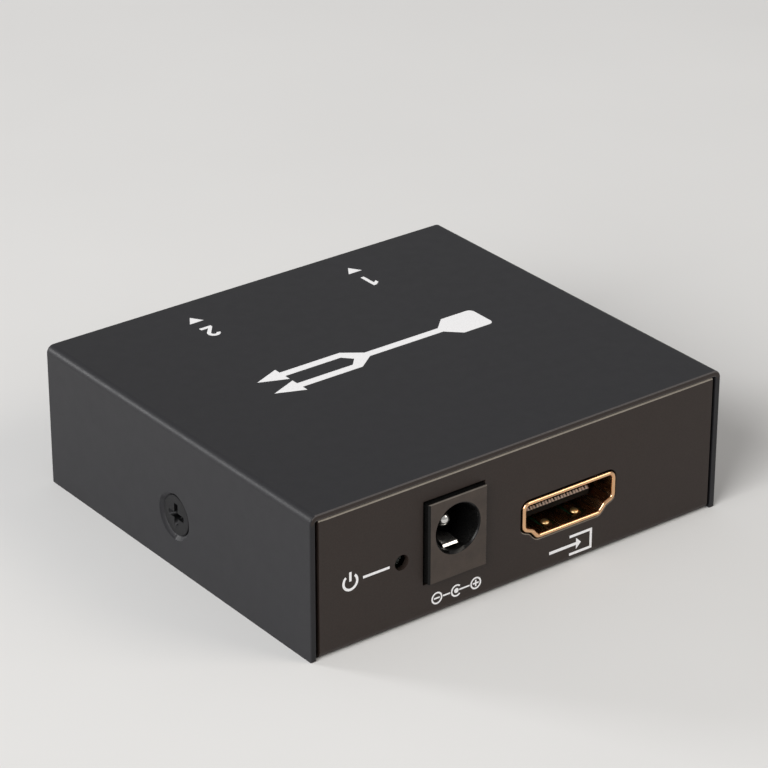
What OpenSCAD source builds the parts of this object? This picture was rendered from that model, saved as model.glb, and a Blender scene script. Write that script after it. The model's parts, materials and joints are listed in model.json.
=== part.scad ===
// Two-way video splitter: one input socket, two output sockets and a power jack in a sheet-metal case.
// The origin is the centre of the underside. +X is right seen from the front, -Y is the front, +Z is up.

/* [Case] */
// Width of the case across the cover's side walls
case_width = 65; // [60:0.5:80]
// Depth of the case from front panel to rear panel
case_depth = 58; // [52:0.5:75]
// Height of the case
case_height = 20; // [19:0.5:30]
// Thickness of the folded sheet
sheet = 0.8; // [0.6:0.05:1]
// Inside radius of the folds
fold_inside = 0.3; // [0.2:0.05:0.6]
// Gap between a panel's end and the cover's side wall
panel_side_gap = 0.5; // [0.3:0.05:0.7]
// Gap between a panel's top edge and the cover
panel_top_gap = 0.1; // [0.05:0.05:0.3]
// Height of the cover's lower edges above the underside
cover_lift = 0; // [0:0.05:0.3]

/* [Cover screws] */
// Height of the screws above the underside
screw_rise = 7.5; // [6.5:0.1:10]
// Thread diameter of a screw
screw_thread = 3; // [2.5:0.1:3.5]
// Length of a screw, head included
screw_length = 5; // [4:0.5:6]
// Diameter of a screw's flat head
screw_head = 5.5; // [5:0.1:6]
// Straight rim round the head, above its cone
screw_rim = 0.2; // [0.1:0.05:0.3]
// Diameter of the pressed countersink at the cover's face
dimple_width = 6.6; // [6:0.1:7]
// Metal left in the wall of the pressed countersink
dimple_wall = 0.6; // [0.4:0.05:0.8]
// Radial gap between the thread and the hole in the countersink
dimple_hole_gap = 0.2; // [0.1:0.05:0.4]
// Sideways gap between the head's cone and the countersink
screw_seat_gap = 0.05; // [0.02:0.01:0.1]
// Radial gap between a thread and its tapped hole
thread_gap = 0.05; // [0.02:0.01:0.1]
// Width of an upturned ear of the tray
ear_width = 12; // [9:0.5:16]
// Height of an ear above its screw
ear_margin = 4; // [3:0.5:5]
// Width of the relief cut beside an ear
ear_relief = 1; // [0.6:0.1:1.6]
// Length of the drawn collar behind a tapped hole
collar_length = 1.2; // [0.8:0.1:1.6]
// Wall of the drawn collar
collar_wall = 0.8; // [0.5:0.1:1]
// Size of the cross recess across its arms
recess_across = 3.3; // [2.6:0.1:3.6]
// Width of one arm of the cross recess
recess_arm = 0.8; // [0.5:0.05:0.9]
// Depth of the cross recess
recess_depth = 1.1; // [0.8:0.1:1.3]

/* [Board] */
// Thickness of the circuit board
board_thickness = 1.6; // [1.2:0.1:2]
// Height of the standoffs above the tray's floor
standoff_height = 2.8; // [2.5:0.1:4]
// Diameter of a standoff
standoff_width = 5; // [4.2:0.1:6]
// Diameter of the riveted neck of a standoff
standoff_neck = 3.6; // [3.2:0.1:4]
// Radial gap between a riveted neck and the floor
neck_gap = 0.05; // [0.02:0.01:0.1]
// Thread diameter of a board screw
board_thread = 2.5; // [2:0.1:2.6]
// Diameter of a board screw's pan head
board_head = 4.5; // [4:0.1:5]
// Height of a board screw's pan head
board_head_height = 1.6; // [1.2:0.1:2]
// Size of a board screw's cross recess across its arms
board_recess_across = 2.5; // [2:0.1:3]
// Width of one arm of a board screw's cross recess
board_recess_arm = 0.6; // [0.4:0.05:0.8]
// Depth of a board screw's cross recess
board_recess_depth = 1; // [0.6:0.1:1.1]
// Radial gap between a board screw and the hole in the board
board_hole_gap = 0.2; // [0.1:0.05:0.3]
// Height of a board screw's end above the underside
board_screw_end = 0.6; // [0.3:0.1:1]
// Gap between the board and the ends of the cover screws
board_side_gap = 0.35; // [0.2:0.05:1]
// Gap between the board and the panels
board_end_gap = 1.2; // [0.8:0.1:2]
// Distance of the board screws from the board's sides
hole_side_inset = 3.5; // [3:0.1:5]
// Distance of the board screws from the board's front and rear edges
hole_end_inset = 15; // [14.5:0.5:17]
// Gap round a terminal in its slot in the board
slot_gap = 0.2; // [0.1:0.05:0.3]
// Length of a terminal below the board
terminal_below = 0.7; // [0.4:0.1:1]

/* [Video sockets] */
// Width inside a socket's mouth
mouth_width = 14; // [13:0.1:15]
// Height inside a socket's mouth
mouth_height = 4.55; // [4.3:0.05:5.5]
// Height of the scooped lower corners
scoop_height = 1.5; // [1.2:0.05:1.8]
// Width of the scooped lower corners
scoop_width = 2.1; // [1.8:0.05:2.4]
// Width of the shelf at the top of a scoop
shelf_width = 1.25; // [1:0.05:1.4]
// Fall of the shelf over its width
shelf_fall = 0.5; // [0.4:0.05:0.6]
// Inside radius of the mouth's corners
mouth_corner = 0.5; // [0.3:0.05:0.6]
// Radius of the hollow of a scoop
scoop_radius = 1; // [0.9:0.05:1.2]
// Thickness of the formed shell
shell_wall = 0.3; // [0.2:0.05:0.4]
// Length of the shell
shell_length = 11.3; // [10.5:0.1:12]
// Gap between the shell and the board
shell_lift = 0.55; // [0.3:0.05:1]
// Width of the rolled lip round a mouth
lip_width = 0.58; // [0.42:0.02:0.7]
// Depth over which the lip draws in to the shell
lip_depth = 0.9; // [0.7:0.05:1]
// How far a lip stands out of its panel
socket_proud = 0.3; // [0.1:0.05:0.6]
// Gap round a lip in its panel
socket_window_gap = 0.2; // [0.15:0.05:0.4]
// Width of a spring finger
finger_width = 1.3; // [1:0.1:1.8]
// Distance between the two spring fingers of one wall
finger_spacing = 4.8; // [4:0.1:6]
// Distance of a finger's root behind the mouth
finger_root = 1.2; // [1:0.1:1.6]
// Length of a finger
finger_length = 3.6; // [3:0.1:4.5]
// How far a finger's crest reaches into the mouth
finger_rise = 0.45; // [0.3:0.05:0.6]
// Length of a finger behind its crest
finger_end = 1.5; // [1:0.1:1.8]
// Height of a finger's end above its root
finger_end_rise = 0.18; // [0.1:0.02:0.26]
// Thickness of a finger
finger_thickness = 0.24; // [0.15:0.01:0.28]
// Width of the slot that frees a finger
finger_slot = 0.3; // [0.2:0.05:0.4]
// Width of a mounting leg
leg_width = 1.2; // [0.8:0.1:1.6]
// Distance of the front legs behind the mouth
leg_front = 4.6; // [4.2:0.1:5]
// Distance of the rear legs from the shell's end
leg_rear = 1.7; // [1.2:0.1:2]
// Depth of the insulator's rear block
block_depth = 2.7; // [2:0.1:3.2]
// Gap between the insulator and the shell
insulator_gap = 0.05; // [0.03:0.01:0.1]
// Width of the insulator's foot on the board
foot_width = 11; // [10:0.5:12]
// Width of the tongue
tongue_width = 10.2; // [10:0.1:10.8]
// Thickness of the tongue
tongue_thickness = 1.3; // [1:0.05:1.5]
// Distance of the tongue's middle below the mouth's middle
tongue_drop = 0.35; // [0.1:0.05:0.5]
// Distance of the tongue's tip behind the mouth
tongue_setback = 2.4; // [2:0.1:3]
// Bevel along the tongue's tip
tongue_bevel = 0.3; // [0.1:0.05:0.4]
// Distance between neighbouring contacts of one row
contact_pitch = 1; // [0.8:0.05:1]
// Width of a contact
contact_width = 0.3; // [0.2:0.05:0.35]
// Thickness of a contact
contact_thickness = 0.2; // [0.12:0.02:0.24]
// How far a contact stands out of the tongue
contact_proud = 0.05; // [0.02:0.01:0.1]
// Gap round a contact in its groove
contact_gap = 0.03; // [0.02:0.01:0.05]
// Distance of a contact's start behind the tongue's tip
contact_setback = 0.5; // [0.4:0.05:0.8]
// Length of a contact's soldered tail
contact_tail = 1.2; // [0.8:0.1:1.5]
// Distance of the contacts' upright run behind the shell
contact_back = 0.35; // [0.3:0.05:0.6]
// Place of the input socket to the right of the middle
input_x = 7.5; // [6:0.1:12]
// Distance between the two output sockets
output_pitch = 26; // [20:0.5:28]

/* [Power jack] */
// Place of the jack to the left of the middle
jack_x = 10.8; // [9:0.1:11.5]
// Width of the jack's square front
jack_width = 9; // [8.5:0.1:9.6]
// Height of the jack's square front
jack_height = 11; // [10.5:0.1:11.5]
// Depth of the jack's square front
jack_front = 3.4; // [2.5:0.1:4]
// Length of the jack
jack_length = 14.2; // [13:0.1:15]
// Width of the round-topped body behind the front
jack_body = 8; // [7.6:0.1:8.4]
// How far the jack stands out of the panel
jack_proud = 0.8; // [0.4:0.1:1.2]
// Gap round the jack in the panel
jack_window_gap = 0.3; // [0.15:0.05:0.4]
// Height of the jack's bore above the board
jack_axis = 6.5; // [6:0.1:6.8]
// Diameter of the bore for the plug
jack_bore = 6.3; // [5.8:0.1:6.8]
// Depth of the bore
jack_bore_depth = 9.6; // [9:0.1:10.4]
// Bevel round the bore's mouth
jack_bevel = 0.35; // [0.2:0.05:0.5]
// Diameter of the centre pin
pin_width = 2; // [1.6:0.1:2.5]
// Distance of the pin's tip behind the jack's face
pin_setback = 2.2; // [1.5:0.1:3]
// Diameter of the pin's thinner shank in the rear wall
pin_shank = 1.5; // [1.2:0.05:1.55]
// Radial gap between the shank and the rear wall
pin_gap = 0.05; // [0.02:0.01:0.1]
// Height and overhang of the riveted end of the pin
rivet_head = 0.4; // [0.3:0.05:0.6]
// Width of the pin's terminal strip
terminal_width = 3; // [2.4:0.1:3.6]
// Thickness of the pin's terminal strip
terminal_thickness = 0.4; // [0.3:0.05:0.5]
// Height of the terminal strip above the pin's middle
terminal_rise = 1.8; // [1.5:0.1:2.4]
// Width of the sleeve leaf spring
leaf_width = 2.2; // [1.8:0.1:2.6]
// Thickness of the sleeve leaf spring
leaf_thickness = 0.3; // [0.2:0.05:0.35]
// How far the leaf's crest reaches into the bore
leaf_reach = 0.7; // [0.4:0.05:0.9]
// Distance of the leaf's crest behind the jack's face
leaf_crest = 3.4; // [3:0.1:4.4]
// Distance of the leaf's tip behind the jack's face
leaf_tip = 1.5; // [1.2:0.1:2]
// Height of the leaf's bend above the board
leaf_bend = 1.6; // [1.2:0.1:2]
// Distance of the leaf's upright behind the bore
leaf_root = 1.2; // [0.8:0.1:1.6]
// Gap round the strips inside the housing
leaf_gap = 0.25; // [0.15:0.05:0.3]
// Width of the switch contact
switch_width = 0.7; // [0.5:0.05:0.8]
// Thickness of the switch contact
switch_thickness = 0.25; // [0.2:0.01:0.28]
// Gap between the switch contact and the leaf, where they meet
switch_gap = 0.02; // [0.01:0.01:0.04]
// Distance of the switch contact's upright behind the jack's face
switch_root = 7.2; // [6.6:0.1:7.4]
// Length of the switch contact along the leaf
switch_reach = 1.4; // [1:0.1:1.6]
// Length of the switch contact's side bar along the leaf
switch_bar = 0.6; // [0.4:0.1:0.8]
// Thickness of the coined side bar
switch_bar_thickness = 0.19; // [0.15:0.01:0.19]
// Overlap of the side bar with the leaf's edge
switch_bar_overlap = 1; // [0.6:0.1:1.4]

/* [Power light] */
// Place of the light to the left of the middle
led_x = 18.85; // [18.5:0.05:20]
// Height of the light above the board
led_rise = 4.05; // [3.5:0.05:5]
// Diameter of the hole in the panel
led_hole = 2.1; // [1.6:0.1:2.6]
// Diameter of the lens
led_width = 3; // [2.6:0.1:3.2]
// Length of the lens
led_length = 5.3; // [4.8:0.1:6]
// Diameter of the lens's flange
led_flange = 3.8; // [3.5:0.1:3.9]
// Thickness of the lens's flange
led_flange_depth = 1; // [0.8:0.1:1.2]
// Gap between the lens and the panel
led_gap = 0.25; // [0.1:0.05:0.5]
// Thickness of a leg
led_leg = 0.45; // [0.4:0.05:0.5]
// Distance between the two legs
led_pitch = 2.54; // [2:0.02:2.6]
// Length of a leg behind the lens, before its bend
led_leg_run = 1.5; // [1:0.1:2]

/* [Board parts] */
// Width of the splitter chip's body
chip_width = 10; // [9:0.5:11]
// Height of the splitter chip
chip_height = 1.4; // [1:0.1:1.6]
// Distance between the splitter chip's leads
chip_pitch = 0.5; // [0.45:0.01:0.55]
// Width of a lead of the splitter chip
chip_lead = 0.22; // [0.16:0.01:0.3]
// Width of the memory chip's body
memory_width = 4.9; // [4.5:0.1:5.2]
// Depth of the memory chip's body
memory_depth = 3.9; // [3.6:0.1:4.2]
// Height of the memory chip
memory_height = 1.5; // [1.2:0.1:1.7]
// Distance between the memory chip's leads
memory_pitch = 1.27; // [1:0.01:1.3]
// Width of a lead of the memory chip
memory_lead = 0.42; // [0.3:0.01:0.5]
// Width of the regulator's body
regulator_width = 6.5; // [6:0.1:7]
// Depth of the regulator's body
regulator_depth = 3.5; // [3.2:0.1:3.8]
// Height of the regulator
regulator_height = 1.6; // [1.4:0.1:1.8]
// Distance between the regulator's leads
regulator_pitch = 2.3; // [2:0.1:2.5]
// Width of a lead of the regulator
regulator_lead = 0.7; // [0.5:0.05:0.9]
// Width of the regulator's cooling tab
regulator_tab = 3; // [2.6:0.1:3.2]
// Width of the crystal
crystal_width = 5; // [4:0.1:5.5]
// Depth of the crystal
crystal_depth = 3.2; // [2.5:0.1:3.4]
// Height of the crystal
crystal_height = 1.2; // [0.9:0.1:1.5]
// Height of the crystal's base
crystal_base = 0.6; // [0.4:0.1:0.8]
// Rim of the crystal's base round its lid
crystal_rim = 0.3; // [0.2:0.05:0.5]
// Diameter of a capacitor's can
can_width = 5; // [4:0.1:5.5]
// Height of a capacitor's can
can_height = 5; // [4:0.1:6]
// Height of the groove round a can above its base plate
can_groove_rise = 0.9; // [0.6:0.1:1.4]
// Depth of the groove round a can
can_groove = 0.25; // [0.15:0.05:0.4]
// Height of a capacitor's base plate
can_base = 0.8; // [0.6:0.1:1]
// Rim of a capacitor's base plate round its can
can_base_rim = 0.15; // [0.1:0.05:0.3]
// Thickness of a chip's lead
lead_thickness = 0.16; // [0.12:0.01:0.2]
// Reach of a chip's lead beyond the body
lead_reach = 1.2; // [1:0.05:1.4]
// Length of a lead before it bends down
lead_shoulder = 0.35; // [0.25:0.05:0.45]
// Distance from the body to where a lead meets the board
lead_heel = 0.6; // [0.55:0.05:0.8]
// Length of a small ceramic part
small_length = 1.6; // [1.2:0.1:1.8]
// Width and height of a small ceramic part
small_width = 0.8; // [0.6:0.05:0.9]
// Length of an end cap of a small ceramic part
small_cap = 0.32; // [0.2:0.02:0.5]
// Height of an end cap above the ceramic
small_step = 0.03; // [0.02:0.01:0.06]
// Height of a small resistor
resistor_height = 0.5; // [0.4:0.05:0.7]
// Gap between the splitter chip's leads and the small capacitors
capacitor_gap = 1.6; // [1.2:0.1:2]
// Distance between neighbouring small capacitors
capacitor_pitch = 2.4; // [2.2:0.1:2.6]
// Gap between a socket and its small resistors
resistor_gap = 1.5; // [1.2:0.1:2]
// Distance between neighbouring small resistors
resistor_pitch = 2.2; // [1.6:0.1:2.4]

/* [Hidden] */

$fn = 48;
// Overshoot of a cutting tool past the face that it opens
over = 1;

// Case
fold_outside = fold_inside + sheet;
panel_width = case_width - 2 * (sheet + panel_side_gap);
panel_top = case_height - sheet - panel_top_gap;
dimple_hole = screw_thread / 2 + dimple_hole_gap;
dimple_drop = dimple_width / 2 - dimple_hole;
dimple_skirt = dimple_wall * sqrt(2);
ear_face = case_width / 2 - dimple_drop;
ear_top = screw_rise + ear_margin;
thread_hole = screw_thread / 2 + thread_gap;
head_seat = dimple_width / 2 - screw_head / 2 - screw_seat_gap;
head_top = head_seat - screw_rim;
head_cone = (screw_head - screw_thread) / 2;
screw_tip = head_top + screw_length;

// Board
board_bottom = sheet + standoff_height;
board_top = board_bottom + board_thickness;
board_width = case_width - 2 * (screw_tip + board_side_gap);
board_depth = case_depth - 2 * (sheet + board_end_gap);
hole_x = board_width / 2 - hole_side_inset;
hole_y = board_depth / 2 - hole_end_inset;
terminal_end = -board_thickness - terminal_below;

// Video sockets, measured from the middle of the mouth, with depth counted inwards
socket_rise = mouth_height / 2 + shell_wall + shell_lift;
block_start = shell_length - block_depth;
tongue_middle = -tongue_drop;
contact_inset = contact_thickness / 2 - contact_proud;
upper_row = tongue_middle + tongue_thickness / 2 - contact_inset;
lower_row = tongue_middle - tongue_thickness / 2 + contact_inset;
upper_count = 10;
lower_count = 9;
contact_drop = shell_length + contact_back;
socket_back = contact_drop + contact_tail;
lip_radius = lip_width / 2;
lip_steps = 6;
leg_places = [leg_front, shell_length - leg_rear];
leg_middle = mouth_width / 2 + shell_wall / 2;
leg_end = terminal_end - socket_rise;

// Power jack, measured from the board under the middle of its face, with depth counted inwards
bore_floor = jack_axis - jack_bore / 2;
shank_hole = pin_shank / 2 + pin_gap;
leaf_upright = jack_bore_depth + leaf_root;
leaf_top = bore_floor + leaf_reach - leaf_thickness / 2;
leaf_slope = (leaf_top - leaf_bend) / (leaf_upright - leaf_crest);
leaf_path = [
    [leaf_upright, terminal_end],
    [leaf_upright, leaf_bend],
    [leaf_crest, leaf_top],
    [leaf_tip, bore_floor]
];
switch_spacing = leaf_thickness / 2 + switch_gap + switch_thickness / 2;
switch_offset = switch_spacing * sqrt(1 + leaf_slope * leaf_slope);
switch_side = leaf_width / 2 + leaf_gap;
switch_middle = switch_side + switch_width / 2;
terminal_middle = jack_length + terminal_thickness / 2;
switch_path = [
    [switch_root, terminal_end],
    switch_point(switch_root),
    switch_point(switch_root + switch_reach)
];
slot_front = leaf_tip - leaf_gap;

// Power light
led_tip = -case_depth / 2 + sheet + led_gap;
led_back = led_tip + led_length;
led_height = board_top + led_rise;

// Places of the board's parts, measured from the middle of the board
chip_at = [2, 0];
memory_at = [15.5, 1.5];
regulator_at = [-12, -5.5];
crystal_at = [2, 9];
can_places = [[-12, 4], [-18.5, -3.5]];
chip_leads = 16;
memory_leads = 4;
regulator_leads = 3;
capacitor_row = chip_width / 2 + lead_reach + capacitor_gap;
resistor_row = socket_back + resistor_gap;

// Outline helpers
// Point of the switch contact that lies against the leaf at one depth
function switch_point(depth) = [depth, leaf_bend + (leaf_upright - depth) * leaf_slope + switch_offset];

// Arc that rounds the corner at b between its neighbours a and c
function corner_arc(a, b, c, radius, steps) =
    let (u = (a - b) / norm(a - b),
         v = (c - b) / norm(c - b),
         half = acos(u * v) / 2,
         centre = b + (u + v) / norm(u + v) * radius / sin(half),
         start = b + u * radius / tan(half) - centre,
         end = b + v * radius / tan(half) - centre,
         first = atan2(start.y, start.x),
         turn = atan2(end.y, end.x) - first,
         sweep = turn > 180 ? turn - 360 : turn < -180 ? turn + 360 : turn)
    [for (i = [0 : steps])
        let (angle = first + sweep * i / steps)
        centre + radius * [cos(angle), sin(angle)]];

// Outline with every corner rounded by its own radius
function rounded(points, radii, steps = 4) =
    let (n = len(points))
    [for (i = [0 : n - 1])
        each corner_arc(points[(i + n - 1) % n], points[i], points[(i + 1) % n], radii[i], steps)];

// Unit vector to the left of the step from a to b
function left_of(a, b) = let (d = (b - a) / norm(b - a)) [-d.y, d.x];

// Mitred offset of a path's point i
function mitre(path, i) =
    let (n = len(path),
         before = left_of(path[max(i - 1, 0)], path[max(i, 1)]),
         after = left_of(path[min(i, n - 2)], path[min(i + 1, n - 1)]))
    (before + after) / (1 + before * after);

// Outline of a bent strip of one thickness along a path
function strip(path, thickness) =
    let (n = len(path))
    concat(
        [for (i = [0 : n - 1]) path[i] + mitre(path, i) * thickness / 2],
        [for (i = [n - 1 : -1 : 0]) path[i] - mitre(path, i) * thickness / 2]
    );

// Closed outline, drawn anticlockwise, grown outwards by one distance
function grown(points, grow) =
    let (n = len(points))
    [for (i = [0 : n - 1])
        let (before = left_of(points[(i + n - 1) % n], points[i]),
             after = left_of(points[i], points[(i + 1) % n]))
        points[i] - (before + after) / (1 + before * after) * grow];

// Corners of a socket's mouth: flat roof, upright sides, scooped lower corners, narrow floor
mouth_right = [
    [mouth_width / 2 - scoop_width, -mouth_height / 2],
    [mouth_width / 2 - shelf_width, -mouth_height / 2 + scoop_height - shelf_fall],
    [mouth_width / 2, -mouth_height / 2 + scoop_height],
    [mouth_width / 2, mouth_height / 2]
];
mouth_points = concat(mouth_right, [for (i = [3 : -1 : 0]) [-mouth_right[i].x, mouth_right[i].y]]);

// Half-round section of a socket's lip, from its outside over the front to the mouth
rolled_lip = [
    for (i = [0 : lip_steps])
        let (angle = 90 - 180 * i / lip_steps)
        lip_radius * [1 - cos(angle), 1 + sin(angle)]
];

// Outline of a socket's mouth, grown outwards: the hollow of a scoop tightens as the rest widens
function mouth_outline(grow) =
    let (round = mouth_corner + grow,
         hollow = scoop_radius - grow)
    rounded(grown(mouth_points, grow), [round, hollow, round, round, round, round, hollow, round]);

// Profile that stands upright: drawn across and up, then run along the depth, front to rear
module along_depth(from, to) {
    translate([0, to, 0])
        rotate([90, 0, 0])
            linear_extrude(to - from)
                children();
}

// Profile drawn in depth and height, then run across the width
module along_width(width) {
    translate([-width / 2, 0, 0])
        rotate([90, 0, 90])
            linear_extrude(width)
                children();
}

// Rectangle with its two lower corners rounded, standing on the axis
module rounded_foot(width, height, radius) {
    translate([-width / 2, radius])
        square([width, height - radius]);
    translate([-width / 2 + radius, 0])
        square([width - 2 * radius, radius]);
    for (side = [-1, 1])
        translate([side * (width / 2 - radius), radius])
            circle(radius);
}

// Section of a sheet folded into a tray
module folded_section(width, height) {
    difference() {
        rounded_foot(width, height, fold_outside);
        translate([0, sheet])
            rounded_foot(width - 2 * sheet, height, fold_inside);
    }
}

// Cross-shaped recess, narrower at its bottom, sunk from z = 0
module cross_recess(across, arm, depth) {
    floor_radius = across / 4;
    slope = (across / 2 - floor_radius) / depth;
    intersection() {
        translate([0, 0, -depth])
            cylinder(h = depth + over, r1 = floor_radius, r2 = floor_radius + (depth + over) * slope);
        union() {
            translate([-across / 2, -arm / 2, -depth])
                cube([across, arm, depth + over]);
            translate([-arm / 2, -across / 2, -depth])
                cube([arm, across, depth + over]);
        }
    }
}

// Places both cover screws: the screw's axis runs outwards along +Z from the cover's face
module at_cover_screws() {
    for (side = [-1, 1])
        translate([side * case_width / 2, 0, screw_rise])
            rotate([0, side * 90, 0])
                children();
}

module at_board_screws() {
    for (x = [-hole_x, hole_x], y = [-hole_y, hole_y])
        translate([x, y, 0])
            children();
}

// Places a socket's frame: origin in the middle of the mouth, depth inwards along +Y
module at_input() {
    translate([input_x, -case_depth / 2 - socket_proud, board_top + socket_rise])
        children();
}

module at_output(side) {
    translate([side * output_pitch / 2, case_depth / 2 + socket_proud, board_top + socket_rise])
        rotate([0, 0, 180])
            children();
}

module at_sockets() {
    at_input() children();
    for (side = [-1, 1])
        at_output(side) children();
}

// Places the jack's frame: origin on the board under the middle of the jack's face
module at_jack() {
    translate([-jack_x, -case_depth / 2 - jack_proud, board_top])
        children();
}

// Case pieces
// Hollow cone that a screw's head sits in, sunk from the cover's face down to the tapped hole
module screw_seat() {
    depth = dimple_width / 2 - thread_hole;
    translate([0, 0, -depth])
        cylinder(h = depth + over, r1 = thread_hole, r2 = dimple_width / 2 + over);
}

module top_cover() {
    color("#26262a")
        difference() {
            union() {
                translate([0, 0, case_height])
                    mirror([0, 0, 1])
                        along_depth(-case_depth / 2, case_depth / 2)
                            folded_section(case_width, case_height - cover_lift);
                at_cover_screws()
                    translate([0, 0, -dimple_drop])
                        cylinder(
                            h = dimple_drop - sheet / 2,
                            r1 = dimple_hole + dimple_skirt,
                            r2 = dimple_width / 2 - sheet / 2 + dimple_skirt
                        );
            }
            at_cover_screws() {
                screw_seat();
                translate([0, 0, -dimple_drop - over])
                    cylinder(h = 2 * over, r = dimple_hole);
            }
        }
}

// Window of a socket in its panel
module socket_window() {
    along_depth(-over, sheet + socket_proud + over)
        polygon(mouth_outline(lip_width + socket_window_gap));
}

module bottom_tray() {
    ear_fold = ear_face - fold_outside;
    color("#2b2a29")
        difference() {
            union() {
                difference() {
                    rotate([0, 0, 90])
                        along_depth(-panel_width / 2, panel_width / 2)
                            folded_section(case_depth, panel_top);
                    for (side = [-1, 1])
                        translate([side * (ear_fold + panel_width / 2), 0, sheet / 2])
                            cube([panel_width, ear_width + 2 * ear_relief, 2 * sheet], center = true);
                }
                intersection() {
                    along_depth(-ear_width / 2, ear_width / 2)
                        folded_section(2 * ear_face, ear_top);
                    for (side = [-1, 1])
                        translate([side * (ear_fold - sheet + panel_width / 2), 0, 0])
                            cube([panel_width, 2 * ear_width, 2 * ear_top + over], center = true);
                }
                at_cover_screws()
                    translate([0, 0, -dimple_drop - sheet - collar_length])
                        cylinder(h = collar_length + sheet / 2, r = thread_hole + collar_wall);
            }
            at_cover_screws() {
                screw_seat();
                translate([0, 0, -dimple_drop - sheet - collar_length - over])
                    cylinder(h = sheet + collar_length + 2 * over, r = thread_hole);
            }
            at_board_screws()
                translate([0, 0, -over])
                    cylinder(h = sheet + 2 * over, r = standoff_neck / 2 + neck_gap);
            at_sockets()
                socket_window();
            at_jack()
                translate([-jack_width / 2 - jack_window_gap, 0, -jack_window_gap])
                    cube([
                        jack_width + 2 * jack_window_gap,
                        jack_proud + sheet + over,
                        jack_height + 2 * jack_window_gap
                    ]);
            translate([-led_x, -case_depth / 2 + sheet + over, led_height])
                rotate([90, 0, 0])
                    cylinder(h = sheet + 2 * over, r = led_hole / 2);
        }
}

module cover_screws() {
    color("#1b1b1d")
        at_cover_screws()
            translate([0, 0, -head_top])
                difference() {
                    union() {
                        translate([0, 0, -screw_rim])
                            cylinder(h = screw_rim, r = screw_head / 2);
                        translate([0, 0, -screw_rim - head_cone])
                            cylinder(h = head_cone, r1 = screw_thread / 2, r2 = screw_head / 2);
                        translate([0, 0, -screw_length])
                            cylinder(h = screw_length - head_cone / 2 - screw_rim, r = screw_thread / 2);
                    }
                    cross_recess(recess_across, recess_arm, recess_depth);
                }
}

// Board and its fixings
module pcb() {
    color("#0f5a34")
        difference() {
            translate([-board_width / 2, -board_depth / 2, board_bottom])
                cube([board_width, board_depth, board_thickness]);
            at_board_screws()
                translate([0, 0, board_bottom - over])
                    cylinder(h = board_thickness + 2 * over, r = board_thread / 2 + board_hole_gap);
            at_sockets()
                for (depth = leg_places, side = [-1, 1])
                    board_slot([side * leg_middle, depth, -socket_rise], [shell_wall, leg_width]);
            at_jack() {
                board_slot([0, terminal_middle, 0], [terminal_width, terminal_thickness]);
                board_slot([0, leaf_upright, 0], [leaf_width, leaf_thickness]);
                board_slot([-switch_middle, switch_root, 0], [switch_width, switch_thickness]);
            }
            for (side = [-1, 1])
                translate([-led_x + side * led_pitch / 2, led_back + led_leg_run, board_bottom - over])
                    cylinder(h = board_thickness + 2 * over, r = led_leg / sqrt(2) + slot_gap);
        }
}

// Slot through the board round a terminal of the given size, open past both faces
module board_slot(at, size) {
    translate([at.x, at.y, at.z - board_thickness / 2])
        cube([size.x + 2 * slot_gap, size.y + 2 * slot_gap, board_thickness + 2 * over], center = true);
}

module pcb_standoffs() {
    color("#c9c7bd")
        at_board_screws()
            difference() {
                union() {
                    cylinder(h = board_bottom, r = standoff_neck / 2);
                    translate([0, 0, sheet])
                        cylinder(h = standoff_height, r = standoff_width / 2);
                }
                translate([0, 0, -over])
                    cylinder(h = board_bottom + 2 * over, r = board_thread / 2 + thread_gap);
            }
}

module pcb_screws() {
    shank = board_top - board_screw_end + board_head_height / 2;
    color("#d5d5d2")
        at_board_screws()
            difference() {
                union() {
                    translate([0, 0, board_screw_end])
                        cylinder(h = shank, r = board_thread / 2);
                    translate([0, 0, board_top])
                        cylinder(h = board_head_height, r = board_head / 2);
                }
                translate([0, 0, board_top + board_head_height])
                    cross_recess(board_recess_across, board_recess_arm, board_recess_depth);
            }
}

// Video sockets
// Closed tube whose sections are mouth outlines, each at a depth and with a growth
module mouth_tube(sections) {
    rings = [for (s = sections) [for (p = mouth_outline(s[1])) [p.x, s[0], p.y]]];
    n = len(rings[0]);
    m = len(rings);
    polyhedron(
        [for (ring = rings) each ring],
        [for (i = [0 : m - 1], j = [0 : n - 1])
            [i * n + j, (i + 1) % m * n + j, (i + 1) % m * n + (j + 1) % n, i * n + (j + 1) % n]]
    );
}

// Spring finger of the lower wall: rooted towards the mouth, rising inwards, turned back at its end
module spring_finger() {
    wall_middle = -mouth_height / 2 - shell_wall / 2;
    crest = finger_root + finger_length - finger_end;
    along_width(finger_width)
        polygon(strip([
            [finger_root - finger_slot, wall_middle],
            [finger_root, wall_middle],
            [crest, wall_middle + finger_rise],
            [finger_root + finger_length, wall_middle + finger_end_rise]
        ], finger_thickness));
}

module finger_opening() {
    translate([
        -finger_width / 2 - finger_slot,
        finger_root,
        -mouth_height / 2 - shell_wall - over
    ])
        cube([finger_width + 2 * finger_slot, finger_length + finger_slot, shell_wall + 2 * over]);
}

// Repeats a feature of the lower wall on both walls of the mouth
module at_fingers() {
    for (flip = [0, 1], side = [-1, 1])
        mirror([0, 0, flip])
            translate([side * finger_spacing / 2, 0, 0])
                children();
}

module socket_shell() {
    color("#d9a441") {
        difference() {
            mouth_tube([
                [shell_length, shell_wall],
                [lip_depth, shell_wall],
                each rolled_lip,
                [shell_length, 0]
            ]);
            at_fingers()
                finger_opening();
            translate([-foot_width / 2 - insulator_gap, block_start - insulator_gap, -mouth_height])
                cube([foot_width + 2 * insulator_gap, shell_length, mouth_height / 2 + scoop_height / 2]);
        }
        at_fingers()
            spring_finger();
        for (depth = leg_places, side = [-1, 1])
            translate([side * leg_middle, depth, leg_end / 2])
                cube([finger_thickness, leg_width, -leg_end], center = true);
    }
}

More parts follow.
